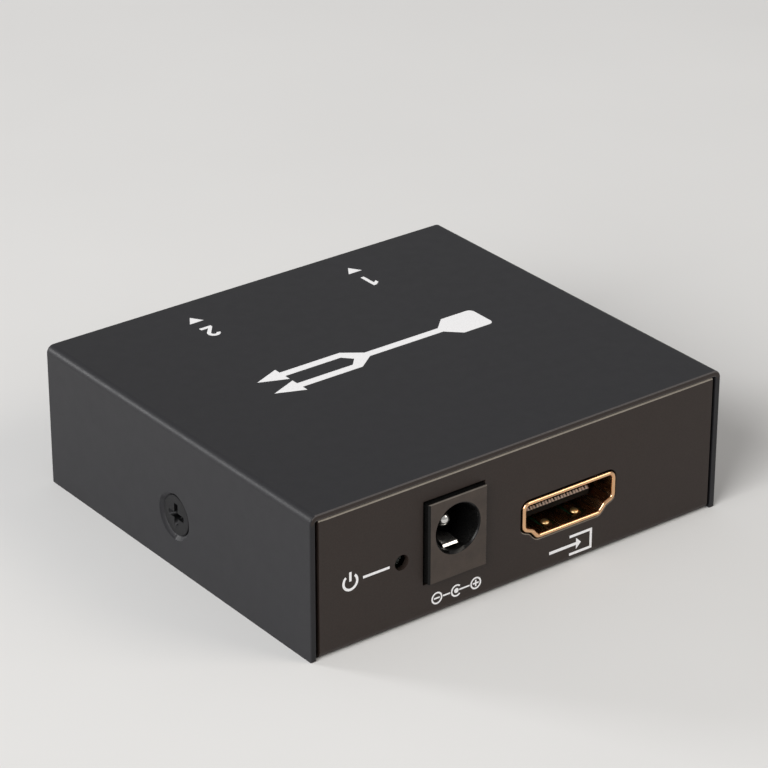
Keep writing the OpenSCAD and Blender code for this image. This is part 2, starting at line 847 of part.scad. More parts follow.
// Runs through both rows of contacts
module at_contacts(row) {
    count = row == "upper" ? upper_count : lower_count;
    for (i = [0 : count - 1])
        translate([(i - (count - 1) / 2) * contact_pitch, 0, 0])
            children();
}

module contact_groove(level) {
    translate([
        -contact_width / 2 - contact_gap,
        tongue_setback - over,
        level - contact_thickness / 2 - contact_gap
    ])
        cube([contact_width + 2 * contact_gap, shell_length, contact_thickness + 2 * contact_gap]);
}

module socket_insulator() {
    half = tongue_thickness / 2;
    color("#17171a")
        difference() {
            union() {
                along_depth(block_start, shell_length)
                    polygon(mouth_outline(-insulator_gap));
                along_width(tongue_width)
                    polygon([
                        [tongue_setback, tongue_middle - half + tongue_bevel],
                        [tongue_setback + tongue_bevel, tongue_middle - half],
                        [block_start + block_depth / 2, tongue_middle - half],
                        [block_start + block_depth / 2, tongue_middle + half],
                        [tongue_setback + tongue_bevel, tongue_middle + half],
                        [tongue_setback, tongue_middle + half - tongue_bevel]
                    ]);
                translate([-foot_width / 2, block_start, -socket_rise])
                    cube([foot_width, block_depth, socket_rise - mouth_height / 4]);
            }
            at_contacts("upper")
                contact_groove(upper_row);
            at_contacts("lower")
                contact_groove(lower_row);
        }
}

module contact(level) {
    along_width(contact_width)
        polygon(strip([
            [tongue_setback + contact_setback, level],
            [contact_drop, level],
            [contact_drop, -socket_rise + contact_thickness / 2],
            [socket_back, -socket_rise + contact_thickness / 2]
        ], contact_thickness));
}

module socket_contacts() {
    color("#e3bd63") {
        at_contacts("upper")
            contact(upper_row);
        at_contacts("lower")
            contact(lower_row);
    }
}

module hdmi_in_shell() { at_input() socket_shell(); }
module hdmi_in_insulator() { at_input() socket_insulator(); }
module hdmi_in_contacts() { at_input() socket_contacts(); }
module hdmi_out_1_shell() { at_output(1) socket_shell(); }
module hdmi_out_1_insulator() { at_output(1) socket_insulator(); }
module hdmi_out_1_contacts() { at_output(1) socket_contacts(); }
module hdmi_out_2_shell() { at_output(-1) socket_shell(); }
module hdmi_out_2_insulator() { at_output(-1) socket_insulator(); }
module hdmi_out_2_contacts() { at_output(-1) socket_contacts(); }

// Power jack
// Cylinder along the jack's axis between two depths
module axis_rod(from, to, radius_from, radius_to) {
    translate([0, from, jack_axis])
        rotate([-90, 0, 0])
            cylinder(h = to - from, r1 = radius_from, r2 = radius_to);
}

module dc_jack_housing() {
    radius = jack_bore / 2;
    slot_width = leaf_width + 2 * leaf_gap;
    rear_slot = leaf_upright + leaf_thickness / 2 + leaf_gap;
    color("#1a1a1c")
        at_jack()
            difference() {
                union() {
                    translate([-jack_width / 2, 0, 0])
                        cube([jack_width, jack_front, jack_height]);
                    translate([-jack_body / 2, jack_front / 2, 0])
                        cube([jack_body, jack_length - jack_front / 2, jack_axis]);
                    axis_rod(jack_front / 2, jack_length, jack_body / 2, jack_body / 2);
                }
                axis_rod(-over, jack_bore_depth, radius, radius);
                axis_rod(-over, jack_bevel, radius + jack_bevel + over, radius);
                axis_rod(0, jack_length + over, shank_hole, shank_hole);
                translate([-slot_width / 2, slot_front, -over])
                    cube([slot_width, jack_bore_depth - slot_front, jack_axis + over]);
                translate([-slot_width / 2, jack_bore_depth - over, -over])
                    cube([slot_width, rear_slot - jack_bore_depth + over, bore_floor + over]);
                translate([
                    -switch_side - switch_width - leaf_gap,
                    switch_root - switch_thickness / 2 - leaf_gap,
                    -over
                ])
                    cube([
                        switch_side + switch_width,
                        switch_reach + switch_thickness + 2 * leaf_gap,
                        bore_floor + leaf_gap + over
                    ]);
            }
}

module dc_jack_centre_pin() {
    radius = pin_width / 2;
    shank = pin_shank / 2;
    rivet_start = jack_length + terminal_thickness;
    rivet_end = rivet_start + rivet_head;
    color("#d8d8d6")
        at_jack() {
            translate([0, pin_setback + radius, jack_axis])
                sphere(radius);
            axis_rod(pin_setback + radius, jack_bore_depth, radius, radius);
            axis_rod(jack_bore_depth - radius, rivet_end, shank, shank);
            axis_rod(rivet_start, rivet_end, shank + rivet_head, shank + rivet_head);
        }
}

module dc_jack_pin_terminal() {
    color("#d2d0c8")
        at_jack()
            difference() {
                translate([-terminal_width / 2, jack_length, terminal_end])
                    cube([terminal_width, terminal_thickness, jack_axis + terminal_rise - terminal_end]);
                axis_rod(jack_length - over, jack_length + over, shank_hole, shank_hole);
            }
}

module dc_jack_sleeve_spring() {
    color("#dcdad2")
        at_jack()
            along_width(leaf_width)
                polygon(strip(leaf_path, leaf_thickness));
}

module dc_jack_switch_contact() {
    bar_width = switch_middle - leaf_width / 2 + switch_bar_overlap;
    bar_start = switch_root + (switch_reach - switch_bar) / 2;
    color("#d2d0c8")
        at_jack() {
            translate([-switch_middle, 0, 0])
                along_width(switch_width)
                    polygon(strip(switch_path, switch_thickness));
            translate([-switch_middle + bar_width / 2, 0, 0])
                along_width(bar_width)
                    polygon(strip([
                        switch_point(bar_start),
                        switch_point(bar_start + switch_bar)
                    ], switch_bar_thickness));
        }
}

// Power light
module power_led_lens() {
    radius = led_width / 2;
    color("#cfe3d6")
        translate([-led_x, led_tip, led_height])
            rotate([-90, 0, 0]) {
                translate([0, 0, radius])
                    sphere(radius);
                translate([0, 0, radius])
                    cylinder(h = led_length - radius, r = radius);
                translate([0, 0, led_length - led_flange_depth])
                    cylinder(h = led_flange_depth, r = led_flange / 2);
            }
}

module power_led_legs() {
    bend = led_back + led_leg_run;
    color("#d5d5d2")
        for (side = [-1, 1])
            translate([-led_x + side * led_pitch / 2, 0, 0])
                along_width(led_leg)
                    polygon(strip([
                        [led_back, led_height],
                        [bend, led_height],
                        [bend, board_bottom - terminal_below]
                    ], led_leg));
}

// Board parts
module on_board(at) {
    translate([at.x, at.y, board_top])
        children();
}

// Rectangular body with a round mark at its first corner
module chip_body(width, depth, height) {
    difference() {
        translate([-width / 2, -depth / 2, lead_thickness])
            cube([width, depth, height - lead_thickness]);
        translate([-width / 2 + height, -depth / 2 + height, height - lead_thickness / 2])
            cylinder(h = over, r = height / 3);
    }
}

// Row of stepped leads along one side of a body: out, down and flat on the board
module lead_row(start, height, count, pitch, width) {
    path = [
        [start, height],
        [start + lead_shoulder, height],
        [start + lead_heel, lead_thickness / 2],
        [start + lead_reach, lead_thickness / 2]
    ];
    for (i = [0 : count - 1])
        translate([(i - (count - 1) / 2) * pitch, 0, 0])
            along_width(width)
                polygon(strip(path, lead_thickness));
}

module splitter_chip() {
    color("#1d1d1f")
        on_board(chip_at)
            chip_body(chip_width, chip_width, chip_height);
}

module splitter_chip_leads() {
    color("#c8c8c4")
        on_board(chip_at)
            for (turn = [0 : 90 : 270])
                rotate([0, 0, turn])
                    lead_row(chip_width / 2, chip_height / 2, chip_leads, chip_pitch, chip_lead);
}

module memory_chip() {
    color("#1d1d1f")
        on_board(memory_at)
            chip_body(memory_width, memory_depth, memory_height);
}

module memory_chip_leads() {
    color("#c8c8c4")
        on_board(memory_at)
            for (turn = [0, 180])
                rotate([0, 0, turn])
                    lead_row(memory_depth / 2, memory_height / 2, memory_leads, memory_pitch, memory_lead);
}

module voltage_regulator() {
    color("#1d1d1f")
        on_board(regulator_at)
            chip_body(regulator_width, regulator_depth, regulator_height);
}

module voltage_regulator_leads() {
    color("#c8c8c4")
        on_board(regulator_at) {
            lead_row(regulator_depth / 2, regulator_height / 2, 1, regulator_pitch, regulator_tab);
            rotate([0, 0, 180])
                lead_row(
                    regulator_depth / 2,
                    regulator_height / 2,
                    regulator_leads,
                    regulator_pitch,
                    regulator_lead
                );
        }
}

module crystal() {
    color("#c4c6c8")
        on_board(crystal_at) {
            translate([-crystal_width / 2, -crystal_depth / 2, 0])
                cube([crystal_width, crystal_depth, crystal_base]);
            translate([-crystal_width / 2 + crystal_rim, -crystal_depth / 2 + crystal_rim, 0])
                cube([crystal_width - 2 * crystal_rim, crystal_depth - 2 * crystal_rim, crystal_height]);
        }
}

module capacitor_cans() {
    color("#cfd2d4")
        for (at = can_places)
            on_board(at)
                translate([0, 0, can_base])
                    difference() {
                        cylinder(h = can_height, r = can_width / 2);
                        translate([0, 0, can_groove_rise])
                            rotate_extrude()
                                translate([can_width / 2, 0])
                                    circle(can_groove);
                    }
}

module capacitor_bases() {
    width = can_width + 2 * can_base_rim;
    color("#202022")
        for (at = can_places)
            on_board(at)
                linear_extrude(can_base)
                    polygon([
                        [-width / 2, -width / 2], [width / 4, -width / 2], [width / 2, -width / 4],
                        [width / 2, width / 4], [width / 4, width / 2], [-width / 2, width / 2]
                    ]);
}

// Small ceramic part with raised end caps, lying along X
module small_part(height) {
    body_width = small_width - 2 * small_step;
    translate([-small_length / 2, -body_width / 2, small_step])
        cube([small_length, body_width, height - 2 * small_step]);
    for (side = [-1, 1])
        translate([side * (small_length - small_cap) / 2, 0, height / 2])
            cube([small_cap, small_width, height], center = true);
}

module chip_capacitors() {
    color("#b79a6a")
        for (side = [-1, 1], i = [-2 : 2])
            on_board(chip_at)
                translate([side * capacitor_row, i * capacitor_pitch, 0])
                    rotate([0, 0, 90])
                        small_part(small_width);
}

module chip_resistors() {
    color("#242426")
        at_sockets()
            for (i = [-1.5 : 1 : 1.5])
                translate([i * resistor_pitch, resistor_row, -socket_rise])
                    rotate([0, 0, 90])
                        small_part(resistor_height);
}

top_cover();
bottom_tray();
cover_screws();
pcb();
pcb_standoffs();
pcb_screws();
hdmi_in_shell();
hdmi_in_insulator();
hdmi_in_contacts();
hdmi_out_1_shell();
hdmi_out_1_insulator();
hdmi_out_1_contacts();
hdmi_out_2_shell();
hdmi_out_2_insulator();
hdmi_out_2_contacts();
dc_jack_housing();
dc_jack_centre_pin();
dc_jack_pin_terminal();
dc_jack_sleeve_spring();
dc_jack_switch_contact();
power_led_lens();
power_led_legs();
splitter_chip();
splitter_chip_leads();
memory_chip();
memory_chip_leads();
voltage_regulator();
voltage_regulator_leads();
crystal();
capacitor_cans();
capacitor_bases();
chip_capacitors();
chip_resistors();
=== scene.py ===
"""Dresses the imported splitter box: finishes, rounded edges, printed marks and a studio."""

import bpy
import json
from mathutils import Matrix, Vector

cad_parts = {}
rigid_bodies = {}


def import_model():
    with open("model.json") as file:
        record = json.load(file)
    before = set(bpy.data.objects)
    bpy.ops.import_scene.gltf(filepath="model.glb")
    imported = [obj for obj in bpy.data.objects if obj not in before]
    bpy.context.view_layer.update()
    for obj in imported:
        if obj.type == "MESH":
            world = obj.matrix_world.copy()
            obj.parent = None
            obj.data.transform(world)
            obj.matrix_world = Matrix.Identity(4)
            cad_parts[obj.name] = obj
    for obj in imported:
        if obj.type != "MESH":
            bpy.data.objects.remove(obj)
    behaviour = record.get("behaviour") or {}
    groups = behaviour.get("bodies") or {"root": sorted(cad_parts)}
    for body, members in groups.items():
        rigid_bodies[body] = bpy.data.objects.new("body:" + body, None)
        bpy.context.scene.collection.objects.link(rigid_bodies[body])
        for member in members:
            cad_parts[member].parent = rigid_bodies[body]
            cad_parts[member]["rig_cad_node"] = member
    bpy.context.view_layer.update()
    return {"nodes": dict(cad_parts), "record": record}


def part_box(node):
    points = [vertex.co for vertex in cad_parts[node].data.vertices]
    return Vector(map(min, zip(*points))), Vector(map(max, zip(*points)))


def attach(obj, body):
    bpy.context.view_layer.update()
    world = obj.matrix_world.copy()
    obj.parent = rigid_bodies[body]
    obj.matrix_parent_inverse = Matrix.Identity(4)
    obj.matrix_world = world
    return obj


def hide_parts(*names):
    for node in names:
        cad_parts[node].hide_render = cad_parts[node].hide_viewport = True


bl_info = {
    "name": "Splitter Box Dressing",
    "version": (1, 0, 0),
    "blender": (4, 5, 0),
    "location": "View3D > Sidebar > Splitter",
    "description": "Finishes, printed marks and studio for a one-in two-out video splitter box",
    "category": "Object",
}

import json
import math
from contextlib import contextmanager

import bpy
from mathutils import Matrix, Vector

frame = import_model()

MM = 0.001
BODY = "root"
SOCKETS = ("hdmi_in", "hdmi_out_1", "hdmi_out_2")
OUTPUTS = SOCKETS[1:]

# Points that lie closer than this are one point
MERGE = 0.0005 * MM
# Turn below which two faces lie in one plane
FLAT_ANGLE = math.radians(0.5)
# Turn below which an edge is shaded smooth
SMOOTH_ANGLE = math.radians(32.0)
# Turn above which an edge is rounded, and the steps of the rounding
ROUND_ANGLE = math.radians(50.0)
ROUND_STEPS = 2
# Share of a face's normal along an axis to which it leans, slopes or stands square
LEAN = 0.2
SLOPE = 0.3
SQUARE = 0.99
# Range in which most of a noise pattern lies
NOISE_LOW = 0.3
NOISE_HIGH = 0.7
# Specular level of the coat on the cover, the tray and their edges
COVER_SHEEN = 0.33
TRAY_SHEEN = 0.3
EDGE_SHEEN = 0.5
# Depth below the top at which a cut end is dark, and at which it is light: painted shade on the side
# walls' cut ends
END_DARK = 1.5 * MM
END_LIGHT = 0.9 * MM
# Cuts along the arch of the jack's leaf, and the length of the leaf's tip
LEAF_CUTS = 10
LEAF_END = 0.2 * MM
# Radius of the floor, in metres
FLOOR_RADIUS = 2.0
# Each lamp's name, power setting, place and size in metres, and tone
LAMPS = (
    ("key_lamp", "key_power", (-1.16, -0.38, 0.74), 0.90, (1.0, 0.99, 0.97)),
    ("front_lamp", "front_power", (0.72, -0.93, 0.82), 0.68, (1.0, 0.92, 0.82)),
    ("top_lamp", "top_power", (0.10, 0.10, 0.95), 0.70, (0.92, 0.95, 1.0)),
    ("rim_lamp", "rim_power", (-0.85, 1.25, 0.48), 0.38, (1.0, 1.0, 1.0)),
)
LAMP_AIM = Vector((0.0, 0.0, 0.01))


# Settings

def number(name, about, value, **more):
    """A setting that is one number."""
    return bpy.props.FloatProperty(name=name, description=about, default=value, **more)


def length(name, about, size_mm):
    """A length, given in millimetres and kept in metres."""
    return number(name, about, size_mm * MM, min=0.0, unit="LENGTH", subtype="DISTANCE", precision=5)


def share(name, about, value):
    """A share from nothing to one."""
    return number(name, about, value, min=0.0, max=1.0, subtype="FACTOR")


def power(name, about, watts):
    """A lamp's power in watts."""
    return number(name, about, watts, min=0.0, unit="POWER")


def turn(name, about, degrees):
    """An angle, given in degrees."""
    return number(name, about, math.radians(degrees), unit="ROTATION", subtype="ANGLE")


def colour(name, about, value):
    """A colour with three linear channels."""
    return bpy.props.FloatVectorProperty(
        name=name, description=about, default=value, size=3,
        min=0.0, max=1.0, subtype="COLOR",
    )


class CaseLook(bpy.types.PropertyGroup):
    """Looks of the folded cover, the tray and the screws that hold them."""

    # One black coat on cover and tray: the cover's cooler, darker tint and the tray's warmer, lighter one
    # are painted light
    cover_colour: colour("Cover paint", "Powder coat on the cover, its cool tint painted light", (0.0140, 0.0139, 0.0163))
    tray_colour: colour("Tray paint", "Powder coat on the tray, its warm tint painted light", (0.0255, 0.0178, 0.0148))
    # Painted highlight: lighter colour on the rounded cut edges of the cover's sheet
    edge_highlight_colour: colour("Sheet edges", "Lighter coat on the sheet's edges: painted highlight", (0.066, 0.059, 0.058))
    # Painted highlight: a lighter, warm coat on rounded edges that face up
    rim_highlight_colour: colour("Upper rims", "Lighter coat on edges that face up: painted highlight", (0.205, 0.182, 0.153))
    screw_colour: colour("Screw plating", "Black zinc on the screws", (0.035, 0.035, 0.037))
    paint_gloss: share("Paint roughness", "Roughness of the satin powder coat", 0.46)
    paint_grain: length("Paint grain", "Width of one bump in the powder coat", 0.22)
    paint_depth: length("Paint relief", "Height of the bumps in the powder coat", 0.006)
    edge_round: length("Edge rounding", "Rounding of the cover's cut edges", 0.16)
    tray_round: length("Tray rounding", "Rounding of the panels' upper edges", 0.2)
    window_round: share("Window rounding", "Share of the tray rounding on the windows' lower edges", 0.6)
    window_reach: length("Window reach", "Half the width of a window's rounded edge", 8.5)
    screw_round: length("Screw rounding", "Rounding of the screw heads' rims", 0.18)


class SocketLook(bpy.types.PropertyGroup):
    """Looks of the three sockets: shell, insulator and contacts."""

    shell_colour: colour("Shell plate", "Gold plate on the shells", (0.855, 0.52, 0.29))
    shell_round: length("Shell rounding", "Rounding of the shells' sheet edges", 0.04)
    contact_colour: colour("Contact plate", "Gold flash on the contacts", (0.86, 0.66, 0.34))
    plastic_colour: colour("Insulator", "Moulded insulators", (0.003, 0.003, 0.003))
    tip_colour: colour("Tongue tip", "Ribs along the tongue's tip", (0.64, 0.535, 0.458))
    tip_reach: length("Tip reach", "Depth of the slope at the tongue's tip", 0.35)
    tip_pitch: length("Tip rib pitch", "Distance between ribs along the tongue's tip", 0.5)
    tip_width: length("Tip rib width", "Width of a rib along the tongue's tip", 0.2)
    tip_rise: length("Tip rib rise", "Height of a rib above the tongue's slope", 0.06)
    # Painted highlight: the bumps take a lighter gold than the shell
    bump_highlight_colour: colour("Finger bumps", "Lighter gold on the lower fingers' bumps: painted highlight", (1.0, 0.80, 0.42))
    bump_width: length("Bump width", "Width of a bump on a spring finger", 1.1)
    bump_rise: length("Bump rise", "Height of a bump above its finger", 0.22)
    bump_depth: length("Bump depth", "Distance of a bump behind the mouth", 2.0)
    bump_spacing: length("Bump spacing", "Distance between the two bumps of a socket", 4.8)
    bump_drop: length("Bump drop", "Drop from the mouth's middle to a bump's foot", 2.14)
    bump_tilt: turn("Bump tilt", "Slope of the finger under a bump", 12.1)


class JackLook(bpy.types.PropertyGroup):
    """Looks of the power jack and the power light."""

    # The face and the sides carry lit and shaded copies of one black plastic: painted light and painted
    # shade
    face_colour: colour("Jack face", "Matt front face of the jack, lighter and warmer than its sides as painted light", (0.0460, 0.0340, 0.0270))
    housing_shade_colour: colour("Housing", "Glossy sides and bore of the jack, darkened as painted shade", (0.004, 0.004, 0.004))
    # Painted highlight on the upper edge of the jack's face
    edge_highlight_colour: colour("Jack edge", "Lighter upper edge of the jack's face: painted highlight", (0.118, 0.103, 0.089))
    metal_colour: colour("Jack metal", "Bright plate on pin and springs", (0.80, 0.79, 0.77))
    lens_colour: colour("Light lens", "Clear moulded lens of the light", (0.42, 0.46, 0.44))
    housing_round: length("Housing rounding", "Rounding of the edges of the jack's face", 0.2)


class BoardLook(bpy.types.PropertyGroup):
    """Looks of the circuit board and what is soldered to it."""

    mask_colour: colour("Solder mask", "Solder mask on the board", (0.006, 0.055, 0.026))
    trace_colour: colour("Covered copper", "Mask over copper tracks", (0.015, 0.105, 0.047))
    chip_colour: colour("Chip body", "Moulded chip bodies", (0.022, 0.022, 0.023))
    chip_round: length("Chip rounding", "Rounding of the chip bodies' edges", 0.08)
    lead_colour: colour("Tinned leads", "Matt tin on leads and screws", (0.62, 0.62, 0.60))
    brass_colour: colour("Standoffs", "Turned brass of the standoffs", (0.70, 0.53, 0.24))
    metal_round: length("Metal rounding", "Rounding of standoffs, screws and lid", 0.08)
    can_colour: colour("Capacitor cans", "Drawn aluminium of the cans", (0.74, 0.75, 0.76))
    can_round: length("Can rounding", "Rounding of the cans' edges", 0.12)
    base_round: length("Base rounding", "Rounding of the cans' base plates", 0.1)
    crystal_colour: colour("Crystal lid", "Plated lid of the crystal", (0.66, 0.66, 0.64))
    tan_colour: colour("Capacitor ceramic", "Small capacitors", (0.42, 0.27, 0.14))
    dark_colour: colour("Resistor coat", "Coat of the small resistors", (0.02, 0.021, 0.023))


class MarkLook(bpy.types.PropertyGroup):
    """Looks and sizes of the printed marks."""

    ink_colour: colour("Ink", "White of the printed marks", (0.90, 0.90, 0.92))
    ink_film: length("Ink film", "Thickness of the printed ink", 0.02)
    branch_length: length("Branch length", "Length of the branching mark on the top", 35.0)
    branch_height: length("Branch height", "Height of the branching mark on the top", 7.0)
    top_numeral: length("Top numerals", "Height of the port numerals on the top", 3.0)
    rear_numeral: length("Rear numerals", "Height of the port numerals on the rear", 1.8)
    power_radius: length("Power mark", "Outer radius of the mark beside the light", 1.2)
    polarity_radius: length("Polarity mark", "Radius of the circles under the jack", 0.85)
    arrow_length: length("Arrow mark", "Length of the arrow and bracket under the input", 7.0)


class StageLook(bpy.types.PropertyGroup):
    """The floor, the lamps and the camera."""

    floor_colour: colour("Floor", "Pale floor", (0.74, 0.74, 0.74))
    backdrop_colour: colour("Backdrop", "Colour seen past the floor", (0.40, 0.40, 0.40))
    fill_level: share("Room light", "Even light from all round", 0.28)
    key_power: power("Key lamp", "Power of the large lamp on the left", 20.5)
    front_power: power("Front lamp", "Power of the warm lamp in front", 5.3)
    top_power: power("Top lamp", "Power of the lamp overhead", 0.3)
    rim_power: power("Rim lamp", "Power of the small lamp behind on the left", 8.8)
    azimuth: turn("Camera azimuth", "Camera's turn round the object from the front", -37.21)
    elevation: turn("Camera elevation", "Camera's angle above the floor", 26.64)
    distance: length("Camera distance", "Distance from the camera to its aim", 441.09)
    aim_right: length("Aim to the right", "Aim point right of the origin in the picture", 0.38)
    aim_up: length("Aim upward", "Aim point above the origin in the picture", 14.42)
    lens: number("Lens", "Focal length of the camera", 157.4, min=1.0, unit="CAMERA")


LOOKS = {
    "splitter_case": CaseLook,
    "splitter_socket": SocketLook,
    "splitter_jack": JackLook,
    "splitter_board": BoardLook,
    "splitter_mark": MarkLook,
    "splitter_stage": StageLook,
}


# Finishes

def shade(value, factor):
    """A colour made darker or lighter by a factor."""
    return tuple(min(1.0, channel * factor) for channel in value)


def set_inputs(node, values):
    """Sets constants on a node's own inputs."""
    for name, value in values.items():
        node.inputs[name].default_value = value


class Finish:
    """One procedural finish whose patterns lie on the piece's own Object coordinates."""

    def __init__(self, name, base, roughness, metallic=0.0, specular=0.5):
        self.material = bpy.data.materials.new(name)
        self.material.use_nodes = True
        self.nodes = self.material.node_tree.nodes
        self.links = self.material.node_tree.links
        self.shader = self.nodes["Principled BSDF"]
        set_inputs(self.shader, {
            "Base Color": (*base, 1.0), "Roughness": roughness,
            "Metallic": metallic, "Specular IOR Level": specular,
        })
        self.place = self.nodes.new("ShaderNodeTexCoord").outputs["Object"]
        self.normal = None

    def node(self, kind, fed, source, **values):
        """A node with one input fed by a source, and constants on those named."""
        node = self.nodes.new("ShaderNode" + kind)
        self.links.new(source, node.inputs[fed])
        set_inputs(node, values)
        return node

    def stretched(self, stretch):
        """Object coordinates stretched for a pattern."""
        return self.node("Mapping", "Vector", self.place, Scale=stretch).outputs["Vector"]

    def cloud(self, cell, detail=2.0, place=None):
        """A soft noise with bumps about one cell wide."""
        noise = self.node(
            "TexNoise", "Vector", place or self.place,
            Scale=1.0 / cell, Detail=detail, Roughness=0.55,
        )
        return noise.outputs["Fac"]

    def bands(self, pitch):
        """Straight waves across X, one per pitch, brightest halfway between its multiples."""
        wave = self.node("TexWave", "Vector", self.place, Scale=math.pi / (10.0 * pitch))
        wave.bands_direction = "X"
        return wave.outputs["Fac"]

    def mapped(self, pattern, start, end, low=0.0, high=1.0):
        """A node that maps a pattern's range from start to end onto low to high."""
        node = self.node("MapRange", "Value", pattern)
        set_inputs(node, {"From Min": start, "From Max": end, "To Min": low, "To Max": high})
        return node

    def rise(self, axis, start, end):
        """A smooth rise from nothing to one between two places along an axis."""
        apart = self.node("SeparateXYZ", "Vector", self.place)
        node = self.mapped(apart.outputs[axis], start, end)
        node.interpolation_type = "SMOOTHSTEP"
        return node.outputs["Result"]

    def tint(self, pattern, low, high, low_at=NOISE_LOW, high_at=NOISE_HIGH):
        """Colours the finish from low to high along a pattern."""
        ramp = self.node("ValToRGB", "Fac", pattern)
        first, last = ramp.color_ramp.elements
        first.position = low_at
        first.color = (*low, 1.0)
        last.position = high_at
        last.color = (*high, 1.0)
        self.links.new(ramp.outputs["Color"], self.shader.inputs["Base Color"])

    def gloss(self, pattern, low, high):
        """Varies the roughness from low to high along a pattern."""
        node = self.mapped(pattern, NOISE_LOW, NOISE_HIGH, low, high)
        self.links.new(node.outputs["Result"], self.shader.inputs["Roughness"])

    def relief(self, pattern, depth, strength=0.5):
        """Raises the surface along a pattern, on top of any relief it has."""
        bump = self.node("Bump", "Height", pattern, Strength=strength, Distance=depth)
        if self.normal:
            self.links.new(self.normal, bump.inputs["Normal"])
        self.normal = bump.outputs["Normal"]
        self.links.new(self.normal, self.shader.inputs["Normal"])


def paint(name, base, look, sheen):
    """Satin powder coat: fine bumps, a slow orange peel and faint cloudiness."""
    skin = Finish(name, base, look.paint_gloss, specular=sheen)
    fine = skin.cloud(look.paint_grain, detail=3.0)
    slow = skin.cloud(9.0 * look.paint_grain, detail=1.0)
    skin.tint(fine, shade(base, 0.86), shade(base, 1.16))
    skin.gloss(slow, look.paint_gloss - 0.015, look.paint_gloss + 0.02)
    skin.relief(slow, 0.8 * look.paint_depth, strength=0.12)
    skin.relief(fine, look.paint_depth, strength=0.55)
    return skin.material


def moulded(name, base, roughness, grain_mm, specular=0.45):
    """Moulded plastic: a spark-eroded skin with a little flow streaking."""
    grain = grain_mm * MM
    skin = Finish(name, base, roughness, specular=specular)
    fine = skin.cloud(grain)
    flow = skin.cloud(14.0 * grain, place=skin.stretched((1.0, 0.35, 1.0)))
    skin.tint(flow, shade(base, 0.85), shade(base, 1.2))
    skin.gloss(fine, roughness - 0.06, roughness + 0.07)
    skin.relief(fine, 0.05 * grain)
    return skin.material


def plated(name, base, roughness, grain_mm, drawn=(1.0, 1.0, 1.0)):
    """Plated metal: drawing lines along one way and a faint stain."""
    grain = grain_mm * MM
    metal = Finish(name, base, roughness, metallic=1.0)
    lines = metal.cloud(grain, detail=3.0, place=metal.stretched(drawn))
    stain = metal.cloud(30.0 * grain)
    metal.tint(stain, shade(base, 0.88), shade(base, 1.05))
    metal.gloss(lines, roughness - 0.05, roughness + 0.09)
    metal.relief(lines, 0.02 * grain)
    return metal.material


def solder_mask(look):
    """Solder mask with the copper tracks showing faintly under it."""
    mask = Finish("solder_mask", look.mask_colour, roughness=0.32)
    in_mm = mask.stretched((1.0 / MM, 1.0 / MM, 1.0 / MM))
    bricks = mask.node("TexBrick", "Vector", in_mm)
    bricks.offset = 0.37
    bricks.squash = 1.6
    bricks.squash_frequency = 3
    set_inputs(bricks, {
        "Scale": 1.0, "Brick Width": 5.2, "Row Height": 0.9,
        "Mortar Size": 0.16, "Mortar Smooth": 0.1,
        "Color1": (0.0, 0.0, 0.0, 1.0),
        "Color2": (0.12, 0.12, 0.12, 1.0),
        "Mortar": (1.0, 1.0, 1.0, 1.0),
    })
    tracks = bricks.outputs["Color"]
    mask.tint(tracks, look.mask_colour, look.trace_colour, 0.1, 0.9)
    mask.gloss(mask.cloud(0.8 * MM), 0.26, 0.4)
    mask.relief(tracks, 0.03 * MM)
    return mask.material


# Modelling helpers

def deselect_all():
    """Leaves edit mode and selects nothing."""
    active = bpy.context.view_layer.objects.active
    if active and active.mode != "OBJECT":
        bpy.ops.object.mode_set(mode="OBJECT")
    bpy.ops.object.select_all(action="DESELECT")


def make_active(piece):
    """Selects one piece alone."""
    deselect_all()
    piece.select_set(True)
    bpy.context.view_layer.objects.active = piece


@contextmanager
def editing(piece):
    """Edit mode with the whole of one piece selected, and object mode again afterwards."""
    make_active(piece)
    bpy.ops.object.mode_set(mode="EDIT")
    bpy.ops.mesh.select_all(action="SELECT")
    yield
    bpy.ops.object.mode_set(mode="OBJECT")


def resize(value):
    """Resizes what is selected about the origin."""
    bpy.ops.transform.resize(value=value, center_override=(0.0, 0.0, 0.0))


def set_in_place(piece, placing):
    """Puts a piece in its place by its mesh, so that its object stays at the origin."""
    make_active(piece)
    piece.matrix_world = placing
    bpy.ops.object.transform_apply(location=True, rotation=True, scale=True)


def join_to(piece, others):
    """Joins other pieces to one piece."""
    make_active(piece)
    for other in others:
        other.select_set(True)
    bpy.ops.object.join()


def mount(name):
    """The place and the outward direction of one of the record's mounts."""
    found = next(row for row in frame["record"]["mounts"] if row["name"] == name)
    return Vector(found["pos_m"]), Vector(found["axis"])


def stand_in(node, slot, *finishes, edge_round=0.0, edge_finish=-1, only=None, shape=None):
    """A merged copy of a CAD node with rounded, smooth-shaded edges, in the node's place.

    What is given as only weighs each edge's rounding by its two ends, and shape works on
    the merged copy before its edges are rounded.
    """
    make_active(frame["nodes"][node])
    bpy.ops.object.duplicate()
    piece = bpy.context.view_layer.objects.active
    piece.name = piece.data.name = node + "_finished"
    del piece["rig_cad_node"]
    coat(piece, *finishes)
    bpy.ops.object.parent_clear(type="CLEAR_KEEP_TRANSFORM")
    with editing(piece):
        bpy.ops.mesh.remove_doubles(threshold=MERGE)
        bpy.ops.mesh.dissolve_limited(angle_limit=FLAT_ANGLE)
    if shape:
        shape(piece)
    if edge_round > 0.0:
        round_edges(piece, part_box(node), edge_round, edge_finish, only)
    bpy.ops.object.shade_smooth_by_angle(angle=SMOOTH_ANGLE)
    flats = piece.modifiers.new("flat_faces", "WEIGHTED_NORMAL")
    flats.weight = 100
    flats.keep_sharp = True
    bpy.ops.object.modifier_apply(modifier=flats.name)
    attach(piece, BODY)
    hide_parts(node)
    return piece


